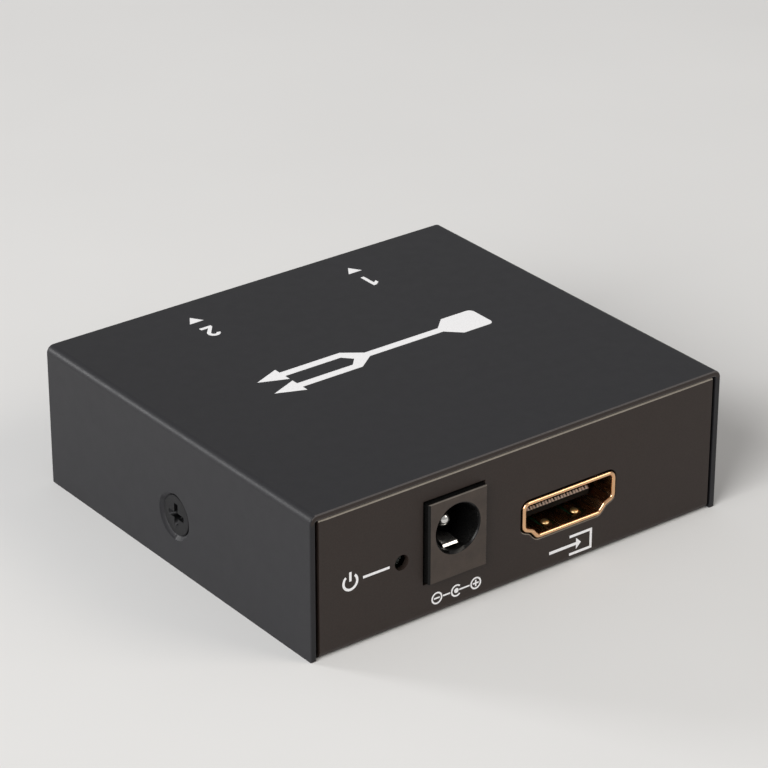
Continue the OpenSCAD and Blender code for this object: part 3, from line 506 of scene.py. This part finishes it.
def round_edges(piece, box, width, finish, only):
    """Rounds the sharp edges of a piece, or those that only weighs, and stays in the box."""
    if only:
        weights = piece.data.attributes.new("bevel_weight_edge", "FLOAT", "EDGE")
        points = piece.data.vertices
        for edge in piece.data.edges:
            first, second = edge.vertices
            weights.data[edge.index].value = float(only(points[first].co, points[second].co))
    bevel = piece.modifiers.new("edge_round", "BEVEL")
    bevel.width = width
    bevel.segments = ROUND_STEPS
    bevel.limit_method = "WEIGHT" if only else "ANGLE"
    bevel.angle_limit = ROUND_ANGLE
    bevel.material = finish
    bpy.ops.object.modifier_apply(modifier=bevel.name)
    for point in piece.data.vertices:
        point.co = [min(max(at, low), high) for at, low, high in zip(point.co, *box)]


def coat(piece, *finishes, index=0):
    """Gives a piece its finishes, and one of them all over."""
    piece.data.materials.clear()
    for finish in finishes:
        piece.data.materials.append(finish)
    for face in piece.data.polygons:
        face.material_index = index


def coat_faces(piece, index, chosen):
    """Gives the faces that a test picks another of the piece's finishes."""
    for face in piece.data.polygons:
        if chosen(face.center, face.normal):
            face.material_index = index


def coat_node(node, finish):
    """Gives a CAD node that stays as it is one finish."""
    for slot in frame["nodes"][node].material_slots:
        slot.material = finish


# Forms of the sockets and the jack

def add_ribs(look, socket, insulator):
    """Fine ribs down the slope at the tongue's tip, beside the contacts' grooves."""
    low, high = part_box(socket + "_insulator")
    tip_at = low[1] if mount(socket)[1].y < 0.0 else high[1]

    def sloping(centre, normal):
        near = abs(centre.y - tip_at) < look.tip_reach
        return near and abs(normal.y) > SLOPE and normal.z > SLOPE

    coat_faces(insulator, 1, sloping)
    mesh = insulator.data
    slope = [face for face in mesh.polygons if face.material_index == 1]
    spots = [mesh.vertices[corner].co.copy() for face in slope for corner in face.vertices]
    foot = min(spots, key=lambda spot: spot.z)
    crest = max(spots, key=lambda spot: spot.z)
    first = math.ceil(min(spot.x for spot in spots) / look.tip_pitch)
    last = math.floor(max(spot.x for spot in spots) / look.tip_pitch)
    rise = crest.z - foot.z
    back = crest.y - foot.y
    deselect_all()
    bpy.ops.mesh.primitive_cube_add(size=1.0)
    rib = bpy.context.view_layer.objects.active
    coat(rib, *mesh.materials, index=1)
    with editing(rib):
        resize((look.tip_width, math.hypot(rise, back), 2.0 * look.tip_rise))
    row = rib.modifiers.new("row", "ARRAY")
    row.count = last - first
    row.use_relative_offset = False
    row.use_constant_offset = True
    row.constant_offset_displace = (look.tip_pitch, 0.0, 0.0)
    bpy.ops.object.modifier_apply(modifier=row.name)
    middle = (foot + crest) / 2.0
    start = Vector(((first + 0.5) * look.tip_pitch, middle.y, middle.z))
    angle = math.copysign(math.atan2(rise, abs(back)), back)
    set_in_place(rib, Matrix.Translation(start) @ Matrix.Rotation(angle, 4, "X"))
    join_to(insulator, [rib])


def add_bumps(look, socket, shell):
    """Pressed domes on the two lower fingers, which lock into a plug's shell."""
    mouth, outward = mount(socket)
    tilt = Matrix.Rotation(-outward.y * look.bump_tilt, 4, "X")
    domes = []
    for side in (-0.5, 0.5):
        deselect_all()
        bpy.ops.mesh.primitive_uv_sphere_add(
            segments=24, ring_count=16, radius=look.bump_width / 2.0,
        )
        dome = bpy.context.view_layer.objects.active
        # The domes take the lighter gold, a painted highlight
        coat(dome, *shell.data.materials, index=1)
        with editing(dome):
            bpy.ops.mesh.bisect(
                plane_co=(0.0, 0.0, 0.0), plane_no=(0.0, 0.0, 1.0),
                use_fill=True, clear_inner=True,
            )
            bpy.ops.mesh.select_all(action="SELECT")
            resize((1.0, 1.0, 2.0 * look.bump_rise / look.bump_width))
        foot = mouth - look.bump_depth * outward
        foot += Vector((side * look.bump_spacing, 0.0, -look.bump_drop))
        set_in_place(dome, Matrix.Translation(foot) @ tilt)
        bpy.ops.object.shade_smooth_by_angle(angle=SMOOTH_ANGLE)
        domes.append(dome)
    join_to(shell, domes)


def arch_leaf(leaf):
    """Rounds the leaf from its tip up to its crest, as it is pressed."""
    spots = [point.co.copy() for point in leaf.data.vertices]
    crest = max(spots, key=lambda spot: spot.z)
    end = min(spot.y for spot in spots)
    foot = max(spot.z for spot in spots if spot.y < end + LEAF_END)
    run = crest.y - end
    with editing(leaf):
        for step in range(1, LEAF_CUTS):
            cut = end + run * (1.0 - math.cos(math.pi / 2.0 * step / LEAF_CUTS))
            bpy.ops.mesh.select_all(action="SELECT")
            bpy.ops.mesh.bisect(plane_co=(0.0, cut, 0.0), plane_no=(0.0, 1.0, 0.0))
    for point in leaf.data.vertices:
        way = min(max((point.co.y - end) / run, 0.0), 1.0)
        point.co.z += (crest.z - foot) * (math.sqrt(1.0 - (1.0 - way) ** 2) - way)


# Drawing helpers, in a plane with points given across and up

def arc(centre, radius, start, end, steps=24):
    """Points along an arc, angles in degrees."""
    angles = [math.radians(start + (end - start) * step / steps) for step in range(steps + 1)]
    return [(centre[0] + radius * math.cos(a), centre[1] + radius * math.sin(a)) for a in angles]


def disc(centre, radius):
    """Points round a circle, without its first point again."""
    return arc(centre, radius, 0.0, 345.0)


def ring(centre, outer, stroke):
    """The two outlines of a ring."""
    return [disc(centre, outer), disc(centre, outer - stroke)]


def open_ring(centre, outer, stroke, start, end):
    """The outline of the part of a ring between two angles."""
    return [arc(centre, outer, start, end) + arc(centre, outer - stroke, end, start)]


def bar(left, low, right, high):
    """The outline of an upright rectangle."""
    return [[(left, low), (right, low), (right, high), (left, high)]]


def line(left, right, level, stroke):
    """The outline of a level line."""
    return bar(left, level - stroke / 2.0, right, level + stroke / 2.0)


def triangle(across, up, size, way):
    """A small triangle that points up the plane, or down it where way is negative."""
    foot = up - way * 0.6 * size
    return [(across - size, foot), (across, up + way * 0.9 * size), (across + size, foot)]


def one():
    """The outline of a figure one, as high as 1 and centred on its middle."""
    flag = [(0.0, 0.5), (-0.22, 0.33), (-0.22, 0.13), (-0.02, 0.26)]
    return [(0.16, -0.5), (0.16, 0.5), *flag, (-0.02, -0.5)]


def two():
    """The outline of a figure two, as high as 1 and centred on its middle."""
    bow = (0.0, 0.2)
    foot = [(-0.06, -0.32), (0.3, -0.32), (0.3, -0.5), (-0.3, -0.5), (-0.3, -0.36)]
    return arc(bow, 0.3, 165.0, -40.0) + foot + arc(bow, 0.12, -40.0, 165.0)


def numeral(outline, height, across, up):
    """A figure's outline at a height, centred on a point."""
    return [(across + height * right, up + height * high) for right, high in outline]


def flat_ink(outlines, film, placing):
    """A thin closed film of ink inside outlines of the plane, set in its place."""
    drawing = bpy.data.curves.new("ink", "CURVE")
    drawing.dimensions = "2D"
    drawing.fill_mode = "BOTH"
    drawing.extrude = film / 2.0
    for outline in outlines:
        closed = drawing.splines.new("POLY")
        closed.points.add(len(outline) - 1)
        for point, (across, up) in zip(closed.points, outline):
            point.co = (across, up, 0.0, 1.0)
        closed.use_cyclic_u = True
    piece = bpy.data.objects.new("ink", drawing)
    bpy.context.scene.collection.objects.link(piece)
    make_active(piece)
    bpy.ops.object.convert(target="MESH")
    piece = bpy.context.view_layer.objects.active
    with editing(piece):
        bpy.ops.mesh.remove_doubles(threshold=MERGE)
        bpy.ops.mesh.normals_make_consistent(inside=False)
    set_in_place(piece, placing)
    return piece


def join_ink(name, ink, pieces):
    """Joins the marks of one side into one printed piece."""
    join_to(pieces[0], pieces[1:])
    marks = bpy.context.view_layer.objects.active
    marks.name = marks.data.name = name
    coat(marks, ink)
    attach(marks, BODY)


# Printed marks

def branch_mark(look):
    """One block whose line splits into two arrows."""
    half = look.branch_length / 2.0
    stroke = 0.6 * MM
    fork = 1.9 * MM
    head = 3.9 * MM
    barb = look.branch_height / 2.0 - fork
    block = 5.0 * MM
    corner = 0.8 * MM
    side = block / 2.0
    neck = block - half + 2.0 * MM
    split = 1.5 * MM
    join = split + 2.6 * MM
    inner = join + 0.7 * MM
    crotch = join - 0.5 * MM
    neck_down = [(block - half, side), (neck, stroke), (split, stroke), (join, fork + stroke)]
    arrow = [
        (half - head, fork + stroke), (half - head, fork + barb), (half, fork),
        (half - head, fork - barb), (half - head, fork - stroke),
    ]
    upper = [*neck_down, *arrow, (inner, fork - stroke), (crotch, 0.0)]
    lower = [(across, -up) for across, up in reversed(upper[:-1])]
    rear = arc((corner - half, corner - side), corner, 270.0, 180.0, 6)
    rear += arc((corner - half, side - corner), corner, 180.0, 90.0, 6)
    return upper + lower + rear


def power_mark(look):
    """A broken ring with an upright stroke, and a line towards the light."""
    level = 9.25 * MM
    middle = -26.6 * MM
    line_end = -20.7 * MM
    line_gap = 0.7 * MM
    foot = level + 0.1 * MM
    radius = look.power_radius
    stroke = 0.34 * MM
    half = stroke / 2.0
    outlines = open_ring((middle, level), radius, stroke, 130.0, 410.0)
    outlines += bar(middle - half, foot, middle + half, level + 1.15 * radius)
    outlines += line(middle + radius + line_gap, line_end, level, stroke)
    return outlines


def polarity_mark(look):
    """Minus circle, sleeve and centre, plus circle: the jack's polarity."""
    level = 2.4 * MM
    middle = -10.35 * MM
    reach = 3.05 * MM
    radius = look.polarity_radius
    stroke = 0.22 * MM
    half = stroke / 2.0
    sign = 0.45 * MM
    core = 0.34 * MM
    gap = 0.12 * MM
    minus = middle - reach
    plus = middle + reach
    outlines = []
    for across in (minus, plus):
        outlines += ring((across, level), radius, stroke)
        outlines += line(across - sign, across + sign, level, stroke)
    for low in (level - sign, level + half):
        outlines += bar(plus - half, low, plus + half, low + sign - half)
    outlines += open_ring((middle, level), radius, stroke, 45.0, 315.0)
    outlines += [disc((middle, level), core)]
    outlines += line(minus + radius + gap, middle - radius - gap, level, stroke)
    outlines += line(middle + core + gap, plus - radius - gap, level, stroke)
    return outlines


def way_in_mark(look):
    """An arrow that runs into an open bracket."""
    level = 2.5 * MM
    middle = 8.0 * MM
    half = look.arrow_length / 2.0
    thin = 0.2 * MM
    head = 0.8 * MM
    tip = middle + 1.7 * MM
    neck = tip - head
    tail = middle - half
    arrow = [
        (tail, level - thin), (neck, level - thin), (neck, level - head), (tip, level),
        (neck, level + head), (neck, level + thin), (tail, level + thin),
    ]
    thick = 0.36 * MM
    left = middle - 0.2 * MM
    right = middle + half
    low = level - 1.45 * MM
    high = level + 1.45 * MM
    bracket = [
        (left, low), (right, low), (right, high), (left, high), (left, high - thick),
        (right - thick, high - thick), (right - thick, low + thick), (left, low + thick),
    ]
    return [arrow, bracket]


def port_marks(film, read, numeral_height, numeral_at, pointer_size, pointer_at, way):
    """A numeral and a pointer for each output, placed from the output's middle."""
    pieces = []
    for figure, socket in zip((one(), two()), OUTPUTS):
        across = -mount(socket)[0].x
        outline = numeral(figure, numeral_height, across + numeral_at[0], numeral_at[1])
        pieces.append(flat_ink([outline], film, read))
        outline = triangle(across + pointer_at[0], pointer_at[1], pointer_size, way)
        pieces.append(flat_ink([outline], film, read))
    return pieces


# Operators

class SPLITTER_OT_case(bpy.types.Operator):
    """Finishes the cover, the tray and the cover screws"""

    bl_idname = "splitter.case"
    bl_label = "Case"

    def execute(self, context):
        look = context.scene.splitter_case
        self.cover(look, context.scene.splitter_mark.ink_film)
        self.tray(look)
        self.screws(look)
        return {"FINISHED"}

    @staticmethod
    def cover(look, film):
        """The cover, lower by the ink's film, so that the print stays inside the box."""
        low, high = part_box("top_cover")
        # The cover's cool, dark tint is painted light
        all_over = paint("cover_paint", look.cover_colour, look, COVER_SHEEN)
        # Lighter paint on the rounded cut edges, a painted highlight; upright edges go back to the
        # cover's paint below
        edges = paint("sheet_edge_paint", look.edge_highlight_colour, look, EDGE_SHEEN)
        ends = Finish("sheet_end_paint", look.tray_colour, look.paint_gloss, specular=TRAY_SHEEN)
        # Painted shade: down the side walls the cut ends turn darker than the cover's paint, and near the
        # top they take the tray's colour
        upper = ends.rise("Z", high[2] - END_DARK, high[2] - END_LIGHT)
        ends.tint(upper, shade(look.cover_colour, 0.8), look.tray_colour, 0.0, 1.0)
        grain = ends.cloud(look.paint_grain, detail=3.0)
        ends.relief(grain, look.paint_depth, strength=0.55)
        cover = stand_in(
            "top_cover", "black_painted_steel", all_over, edges, ends.material,
            edge_round=look.edge_round, edge_finish=1,
        )

        def cut_end(centre, normal):
            return abs(normal.y) > SQUARE and min(centre.y - low[1], high[1] - centre.y) < MERGE

        def upright_edge(centre, normal):
            return abs(normal.x) > SLOPE and abs(normal.y) > SLOPE

        # The cut ends take the painted shade
        coat_faces(cover, 2, cut_end)
        # Upright edges keep the cover's paint, so the painted highlight lies only on level edges
        coat_faces(cover, 0, upright_edge)
        with editing(cover):
            resize((1.0, 1.0, (high[2] - film) / high[2]))

    @staticmethod
    def tray(look):
        """The tray, with a painted highlight on the panels' upper edges and the windows' lower edges."""
        # The tray's warm, lighter tint is painted light
        all_over = paint("tray_paint", look.tray_colour, look, TRAY_SHEEN)
        rims = paint("upper_rim_paint", look.rim_highlight_colour, look, EDGE_SHEEN)
        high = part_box("bottom_tray")[1]
        top = high[2] - MERGE
        outside = high[1] - MERGE
        mouths = [mount(socket)[0] for socket in SOCKETS]

        def lit_edge(first, second):
            if min(first.z, second.z) > top and abs(first.y - second.y) < MERGE:
                return 1.0
            for mouth in mouths:
                side = math.copysign(1.0, mouth.y)
                if all(
                    end.z < mouth.z and abs(end.x - mouth.x) < look.window_reach
                    and side * end.y > outside for end in (first, second)
                ):
                    return look.window_round
            return 0.0

        def upper_rim(centre, normal):
            reach = look.tray_round + MERGE
            return abs(centre.y) > outside - reach and LEAN < normal.z < SQUARE

        tray = stand_in(
            "bottom_tray", "black_painted_steel", all_over, rims,
            edge_round=look.tray_round, only=lit_edge,
        )
        # Faces near the panels that lean upward take the lighter coat, a painted highlight
        coat_faces(tray, 1, upper_rim)

    @staticmethod
    def screws(look):
        """The cover screws, with rounded rims on their heads."""
        zinc = plated("screw_zinc", look.screw_colour, roughness=0.36, grain_mm=0.3)
        low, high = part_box("cover_screws")
        middle = (low[2] + high[2]) / 2.0
        almost_radius = 0.9 * (high[2] - middle)

        def head_rim(first, second):
            return all(
                abs(end.x) > high[0] - MERGE
                and math.hypot(end.y, end.z - middle) > almost_radius
                for end in (first, second)
            )

        stand_in("cover_screws", "black_screw_steel", zinc, edge_round=look.screw_round, only=head_rim)


class SPLITTER_OT_sockets(bpy.types.Operator):
    """Finishes the input and the two output sockets"""

    bl_idname = "splitter.sockets"
    bl_label = "Sockets"

    def execute(self, context):
        look = context.scene.splitter_socket
        gold = plated(
            "shell_gold", look.shell_colour, roughness=0.19, grain_mm=0.08, drawn=(1.0, 0.06, 1.0),
        )
        flash = plated(
            "contact_gold", look.contact_colour, roughness=0.2, grain_mm=0.06, drawn=(1.0, 0.1, 1.0),
        )
        black = moulded(
            "socket_plastic_black", look.plastic_colour, roughness=0.5, grain_mm=0.12, specular=0.06,
        )
        # Lighter gold on the finger bumps stands in for their highlights: painted highlight
        painted_light_finish = plated("finger_bump_gold", look.bump_highlight_colour, roughness=0.32, grain_mm=0.08)
        tip = Finish("tongue_tip_ribs", look.tip_colour, roughness=0.55)
        dark_tip = shade(look.tip_colour, 0.4)
        tip.tint(tip.bands(look.tip_pitch), dark_tip, look.tip_colour, 0.2, 0.6)
        for socket in SOCKETS:
            shell = stand_in(socket + "_shell", "gold_plate", gold, painted_light_finish, edge_round=look.shell_round)
            add_bumps(look, socket, shell)
            insulator = stand_in(socket + "_insulator", "socket_plastic", black, tip.material)
            add_ribs(look, socket, insulator)
            coat_node(socket + "_contacts", flash)
        return {"FINISHED"}


class SPLITTER_OT_jack(bpy.types.Operator):
    """Finishes the power jack"""

    bl_idname = "splitter.jack"
    bl_label = "Power jack"

    def execute(self, context):
        look = context.scene.splitter_jack
        self.housing(look)
        bright = plated(
            "jack_pin_plate", look.metal_colour, roughness=0.16, grain_mm=0.1, drawn=(1.0, 0.15, 1.0),
        )
        rolled = plated(
            "jack_strip_plate", look.metal_colour, roughness=0.3, grain_mm=0.08, drawn=(1.0, 0.1, 1.0),
        )
        stand_in("dc_jack_centre_pin", "bright_tin", bright)
        stand_in("dc_jack_sleeve_spring", "bright_tin", rolled, shape=arch_leaf)
        for node in ("dc_jack_pin_terminal", "dc_jack_switch_contact"):
            coat_node(node, rolled)
        return {"FINISHED"}

    @staticmethod
    def housing(look):
        """The housing: matt on its face, with a painted highlight on the face's upper edge, and glossy
        elsewhere in a far darker copy of its plastic as painted shade.
        """
        grain_mm = 0.15
        painted_light_finish = moulded("jack_plastic_polished", look.housing_shade_colour, 0.3, grain_mm, specular=0.2)
        matt = moulded("jack_face_matt", look.face_colour, 0.5, grain_mm, specular=0.4)
        # A lighter copy of the plastic on the face's upper edge: painted highlight
        edge_highlight_plastic = moulded("jack_edge_worn", look.edge_highlight_colour, 0.45, grain_mm, specular=0.5)
        low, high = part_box("dc_jack_housing")
        face = low[1] + MERGE
        top = high[2] - MERGE

        def face_outline(first, second):
            level = abs(first.z - second.z) < MERGE and max(first.z, second.z) > top
            inner = low[0] + MERGE < first.x < high[0] - MERGE
            upright = abs(first.x - second.x) < MERGE and not inner
            return max(first.y, second.y) < face and (level or upright)

        def front_face(centre, normal):
            return normal.y < -SQUARE and centre.y < face

        def upper_edge(centre, normal):
            leaning = normal.y < -LEAN and normal.z > LEAN
            reach = look.housing_round
            return leaning and centre.z > top - reach and centre.y < face + reach

        housing = stand_in(
            "dc_jack_housing", "jack_plastic", painted_light_finish, matt, edge_highlight_plastic,
            edge_round=look.housing_round, only=face_outline,
        )
        # The face takes the lighter copy; the sides and the bore keep the dark one, painted shade
        coat_faces(housing, 1, front_face)
        # The face's upper edge takes the lighter copy, a painted highlight
        coat_faces(housing, 2, upper_edge)


class SPLITTER_OT_light(bpy.types.Operator):
    """Finishes the power light behind the panel"""

    bl_idname = "splitter.light"
    bl_label = "Power light"

    def execute(self, context):
        look = context.scene.splitter_jack
        clear = Finish("light_lens_clear", look.lens_colour, roughness=0.08)
        set_inputs(clear.shader, {"Transmission Weight": 0.85, "IOR": 1.5})
        haze = clear.cloud(0.4 * MM)
        clear.gloss(haze, 0.05, 0.16)
        clear.tint(haze, shade(look.lens_colour, 0.9), shade(look.lens_colour, 1.04))
        stand_in("power_led_lens", "led_lens", clear.material)
        tin = context.scene.splitter_board.lead_colour
        coat_node("power_led_legs", plated("light_leg_tin", tin, roughness=0.34, grain_mm=0.12))
        return {"FINISHED"}


class SPLITTER_OT_board(bpy.types.Operator):
    """Finishes the circuit board, what holds it and what is soldered to it"""

    bl_idname = "splitter.board"
    bl_label = "Circuit board"

    def execute(self, context):
        look = context.scene.splitter_board
        coat_node("pcb", solder_mask(look))
        turned = (0.2, 0.2, 1.0)
        upright = (1.0, 1.0, 0.1)
        brass = plated("standoff_brass", look.brass_colour, roughness=0.3, grain_mm=0.08, drawn=turned)
        steel = plated("board_screw_zinc", look.lead_colour, roughness=0.28, grain_mm=0.15)
        tin = plated("lead_tin", look.lead_colour, roughness=0.36, grain_mm=0.1)
        lid = plated("crystal_lid", look.crystal_colour, roughness=0.3, grain_mm=0.12)
        can = plated("can_aluminium", look.can_colour, roughness=0.26, grain_mm=0.06, drawn=upright)
        chip = moulded("chip_case_black", look.chip_colour, roughness=0.6, grain_mm=0.06)
        base = moulded("can_base_black", look.chip_colour, roughness=0.5, grain_mm=0.1)
        tan = moulded("capacitor_ceramic", look.tan_colour, roughness=0.55, grain_mm=0.08)
        dark = moulded("resistor_coat", look.dark_colour, roughness=0.3, grain_mm=0.08)
        stand_in("pcb_standoffs", "brass_standoff", brass, edge_round=look.metal_round)
        stand_in("pcb_screws", "lead_tin", steel, edge_round=look.metal_round)
        for node in ("splitter_chip", "memory_chip", "voltage_regulator"):
            stand_in(node, "chip_black", chip, edge_round=look.chip_round)
            coat_node(node + "_leads", tin)
        stand_in("crystal", "crystal_can", lid, edge_round=look.metal_round)
        stand_in("capacitor_cans", "can_aluminium", can, edge_round=look.can_round)
        stand_in("capacitor_bases", "base_plastic", base, edge_round=look.base_round)
        coat_node("chip_capacitors", tan)
        coat_node("chip_resistors", dark)
        return {"FINISHED"}


class SPLITTER_OT_marks(bpy.types.Operator):
    """Prints the marks on the top, the front and the rear"""

    bl_idname = "splitter.marks"
    bl_label = "Printed marks"

    def execute(self, context):
        look = context.scene.splitter_mark
        ink = Finish("white_ink", look.ink_colour, roughness=0.5, specular=0.4)
        speck = ink.cloud(0.18 * MM, detail=3.0)
        ink.tint(speck, shade(look.ink_colour, 0.9), shade(look.ink_colour, 1.04))
        ink.gloss(speck, 0.42, 0.6)
        ink.relief(speck, 0.004 * MM)
        self.top(look, ink.material)
        self.front(look, ink.material)
        self.rear(look, ink.material)
        return {"FINISHED"}

    @staticmethod
    def top(look, ink):
        """A branching mark and port numerals that read from the rear."""
        film = look.ink_film
        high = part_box("top_cover")[1][2]
        read = Matrix.Translation((0.0, 0.0, high - film / 2.0)) @ Matrix.Rotation(math.pi, 4, "Z")
        middle = Matrix.Translation((-0.6 * MM, -1.75 * MM, 0.0))
        pieces = [flat_ink([branch_mark(look)], film, read @ middle)]
        pieces += port_marks(
            film, read, numeral_height=look.top_numeral, numeral_at=(0.0, -19.6 * MM),
            pointer_size=1.1 * MM, pointer_at=(0.0, -23.6 * MM), way=-1.0,
        )
        join_ink("top_marks", ink, pieces)

    @staticmethod
    def front(look, ink):
        """A power mark, a polarity mark and an arrow going into the input."""
        film = look.ink_film
        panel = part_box("bottom_tray")[0][1]
        read = Matrix.Translation((0.0, panel - film / 2.0, 0.0))
        read = read @ Matrix.Rotation(math.pi / 2.0, 4, "X")
        drawings = (power_mark(look), polarity_mark(look), way_in_mark(look))
        pieces = [flat_ink(outlines, film, read) for outlines in drawings]
        join_ink("front_marks", ink, pieces)

    @staticmethod
    def rear(look, ink):
        """A numeral and a pointer under each output."""
        film = look.ink_film
        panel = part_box("bottom_tray")[1][1]
        read = Matrix.Translation((0.0, panel + film / 2.0, 0.0))
        read = read @ Matrix.Rotation(math.pi, 4, "Z") @ Matrix.Rotation(math.pi / 2.0, 4, "X")
        level = 2.3 * MM
        aside = 1.1 * MM
        pieces = port_marks(
            film, read, numeral_height=look.rear_numeral, numeral_at=(-aside, level),
            pointer_size=0.8 * MM, pointer_at=(aside, level), way=1.0,
        )
        join_ink("rear_marks", ink, pieces)


class SPLITTER_OT_stage(bpy.types.Operator):
    """Lays the floor and sets the lamps, the backdrop and the camera"""

    bl_idname = "splitter.stage"
    bl_label = "Stage"

    def execute(self, context):
        look = context.scene.splitter_stage
        self.floor(look)
        self.backdrop(context, look)
        for name, setting, place, size, tone in LAMPS:
            self.lamp(name, Vector(place), size, getattr(look, setting), tone)
        self.camera(context, look)
        context.scene.view_settings.view_transform = "Standard"
        return {"FINISHED"}

    @staticmethod
    def floor(look):
        """A wide pale matt disc, level with the object's underside."""
        deselect_all()
        bpy.ops.mesh.primitive_circle_add(vertices=96, radius=FLOOR_RADIUS, fill_type="NGON")
        floor = bpy.context.view_layer.objects.active
        floor.name = floor.data.name = "floor"
        pale = Finish("floor_pale", look.floor_colour, roughness=0.85, specular=0.0)
        dust = pale.cloud(60.0 * MM, detail=3.0)
        pale.tint(dust, shade(look.floor_colour, 0.985), shade(look.floor_colour, 1.01))
        coat(floor, pale.material)

    @staticmethod
    def backdrop(context, look):
        """Pale all round to the eye and in reflections, and a soft even room light."""
        world = bpy.data.worlds.new("studio_backdrop")
        context.scene.world = world
        world.use_nodes = True
        nodes = world.node_tree.nodes
        links = world.node_tree.links
        path = nodes.new("ShaderNodeLightPath")
        seen = nodes.new("ShaderNodeBackground")
        room = nodes["Background"]
        set_inputs(seen, {"Color": (*look.backdrop_colour, 1.0), "Strength": 1.0})
        set_inputs(room, {"Color": (1.0, 1.0, 1.0, 1.0), "Strength": look.fill_level})
        either = path.outputs["Is Camera Ray"]
        for ray in ("Is Glossy Ray", "Is Transmission Ray"):
            most = nodes.new("ShaderNodeMath")
            most.operation = "MAXIMUM"
            links.new(either, most.inputs[0])
            links.new(path.outputs[ray], most.inputs[1])
            either = most.outputs["Value"]
        mix = nodes.new("ShaderNodeMixShader")
        links.new(either, mix.inputs["Fac"])
        links.new(room.outputs["Background"], mix.inputs[1])
        links.new(seen.outputs["Background"], mix.inputs[2])
        links.new(mix.outputs["Shader"], nodes["World Output"].inputs["Surface"])

    @staticmethod
    def lamp(name, place, size, watts, tone):
        """A square soft lamp aimed at the object."""
        deselect_all()
        bpy.ops.object.light_add(type="AREA", location=place)
        lamp = bpy.context.view_layer.objects.active
        lamp.name = lamp.data.name = name
        lamp.data.shape = "SQUARE"
        lamp.data.size = size
        lamp.data.energy = watts
        lamp.data.color = tone
        lamp.rotation_euler = (LAMP_AIM - place).to_track_quat("-Z", "Y").to_euler()

    @staticmethod
    def camera(context, look):
        """The camera, turned round the object and raised above the floor."""
        deselect_all()
        across = Vector((math.cos(look.azimuth), math.sin(look.azimuth), 0.0))
        back = Vector((
            math.sin(look.azimuth) * math.cos(look.elevation),
            -math.cos(look.azimuth) * math.cos(look.elevation),
            math.sin(look.elevation),
        ))
        aim = look.aim_right * across + look.aim_up * back.cross(across)
        bpy.ops.object.camera_add(
            location=aim + look.distance * back,
            rotation=(math.pi / 2.0 - look.elevation, 0.0, look.azimuth),
        )
        camera = bpy.context.view_layer.objects.active
        camera.name = camera.data.name = "studio_camera"
        camera.data.lens = look.lens
        camera.data.sensor_width = 36.0
        camera.data.clip_start = 0.01
        camera.data.clip_end = 20.0
        context.scene.camera = camera


class SPLITTER_PT_panel(bpy.types.Panel):
    """Lists the steps and the settings of the splitter box"""

    bl_idname = "SPLITTER_PT_panel"
    bl_label = "Splitter box"
    bl_space_type = "VIEW_3D"
    bl_region_type = "UI"
    bl_category = "Splitter"

    def draw(self, context):
        for step in STEPS:
            self.layout.operator(step.bl_idname)
        for name, group in LOOKS.items():
            box = self.layout.box()
            for setting in group.__annotations__:
                box.prop(getattr(context.scene, name), setting)


STEPS = (
    SPLITTER_OT_case,
    SPLITTER_OT_sockets,
    SPLITTER_OT_jack,
    SPLITTER_OT_light,
    SPLITTER_OT_board,
    SPLITTER_OT_marks,
    SPLITTER_OT_stage,
)


def register():
    """Registers the settings, the steps and the panel."""
    for name, group in LOOKS.items():
        bpy.utils.register_class(group)
        setattr(bpy.types.Scene, name, bpy.props.PointerProperty(type=group))
    for step in STEPS:
        bpy.utils.register_class(step)
    bpy.utils.register_class(SPLITTER_PT_panel)


def unregister():
    """Takes the panel, the steps and the settings away again."""
    bpy.utils.unregister_class(SPLITTER_PT_panel)
    for step in reversed(STEPS):
        bpy.utils.unregister_class(step)
    for name, group in reversed(LOOKS.items()):
        delattr(bpy.types.Scene, name)
        bpy.utils.unregister_class(group)


def main():
    """Runs the steps in order."""
    register()
    bpy.ops.splitter.case()
    bpy.ops.splitter.sockets()
    bpy.ops.splitter.jack()
    bpy.ops.splitter.light()
    bpy.ops.splitter.board()
    bpy.ops.splitter.marks()
    bpy.ops.splitter.stage()


if __name__ == "__main__":
    main()
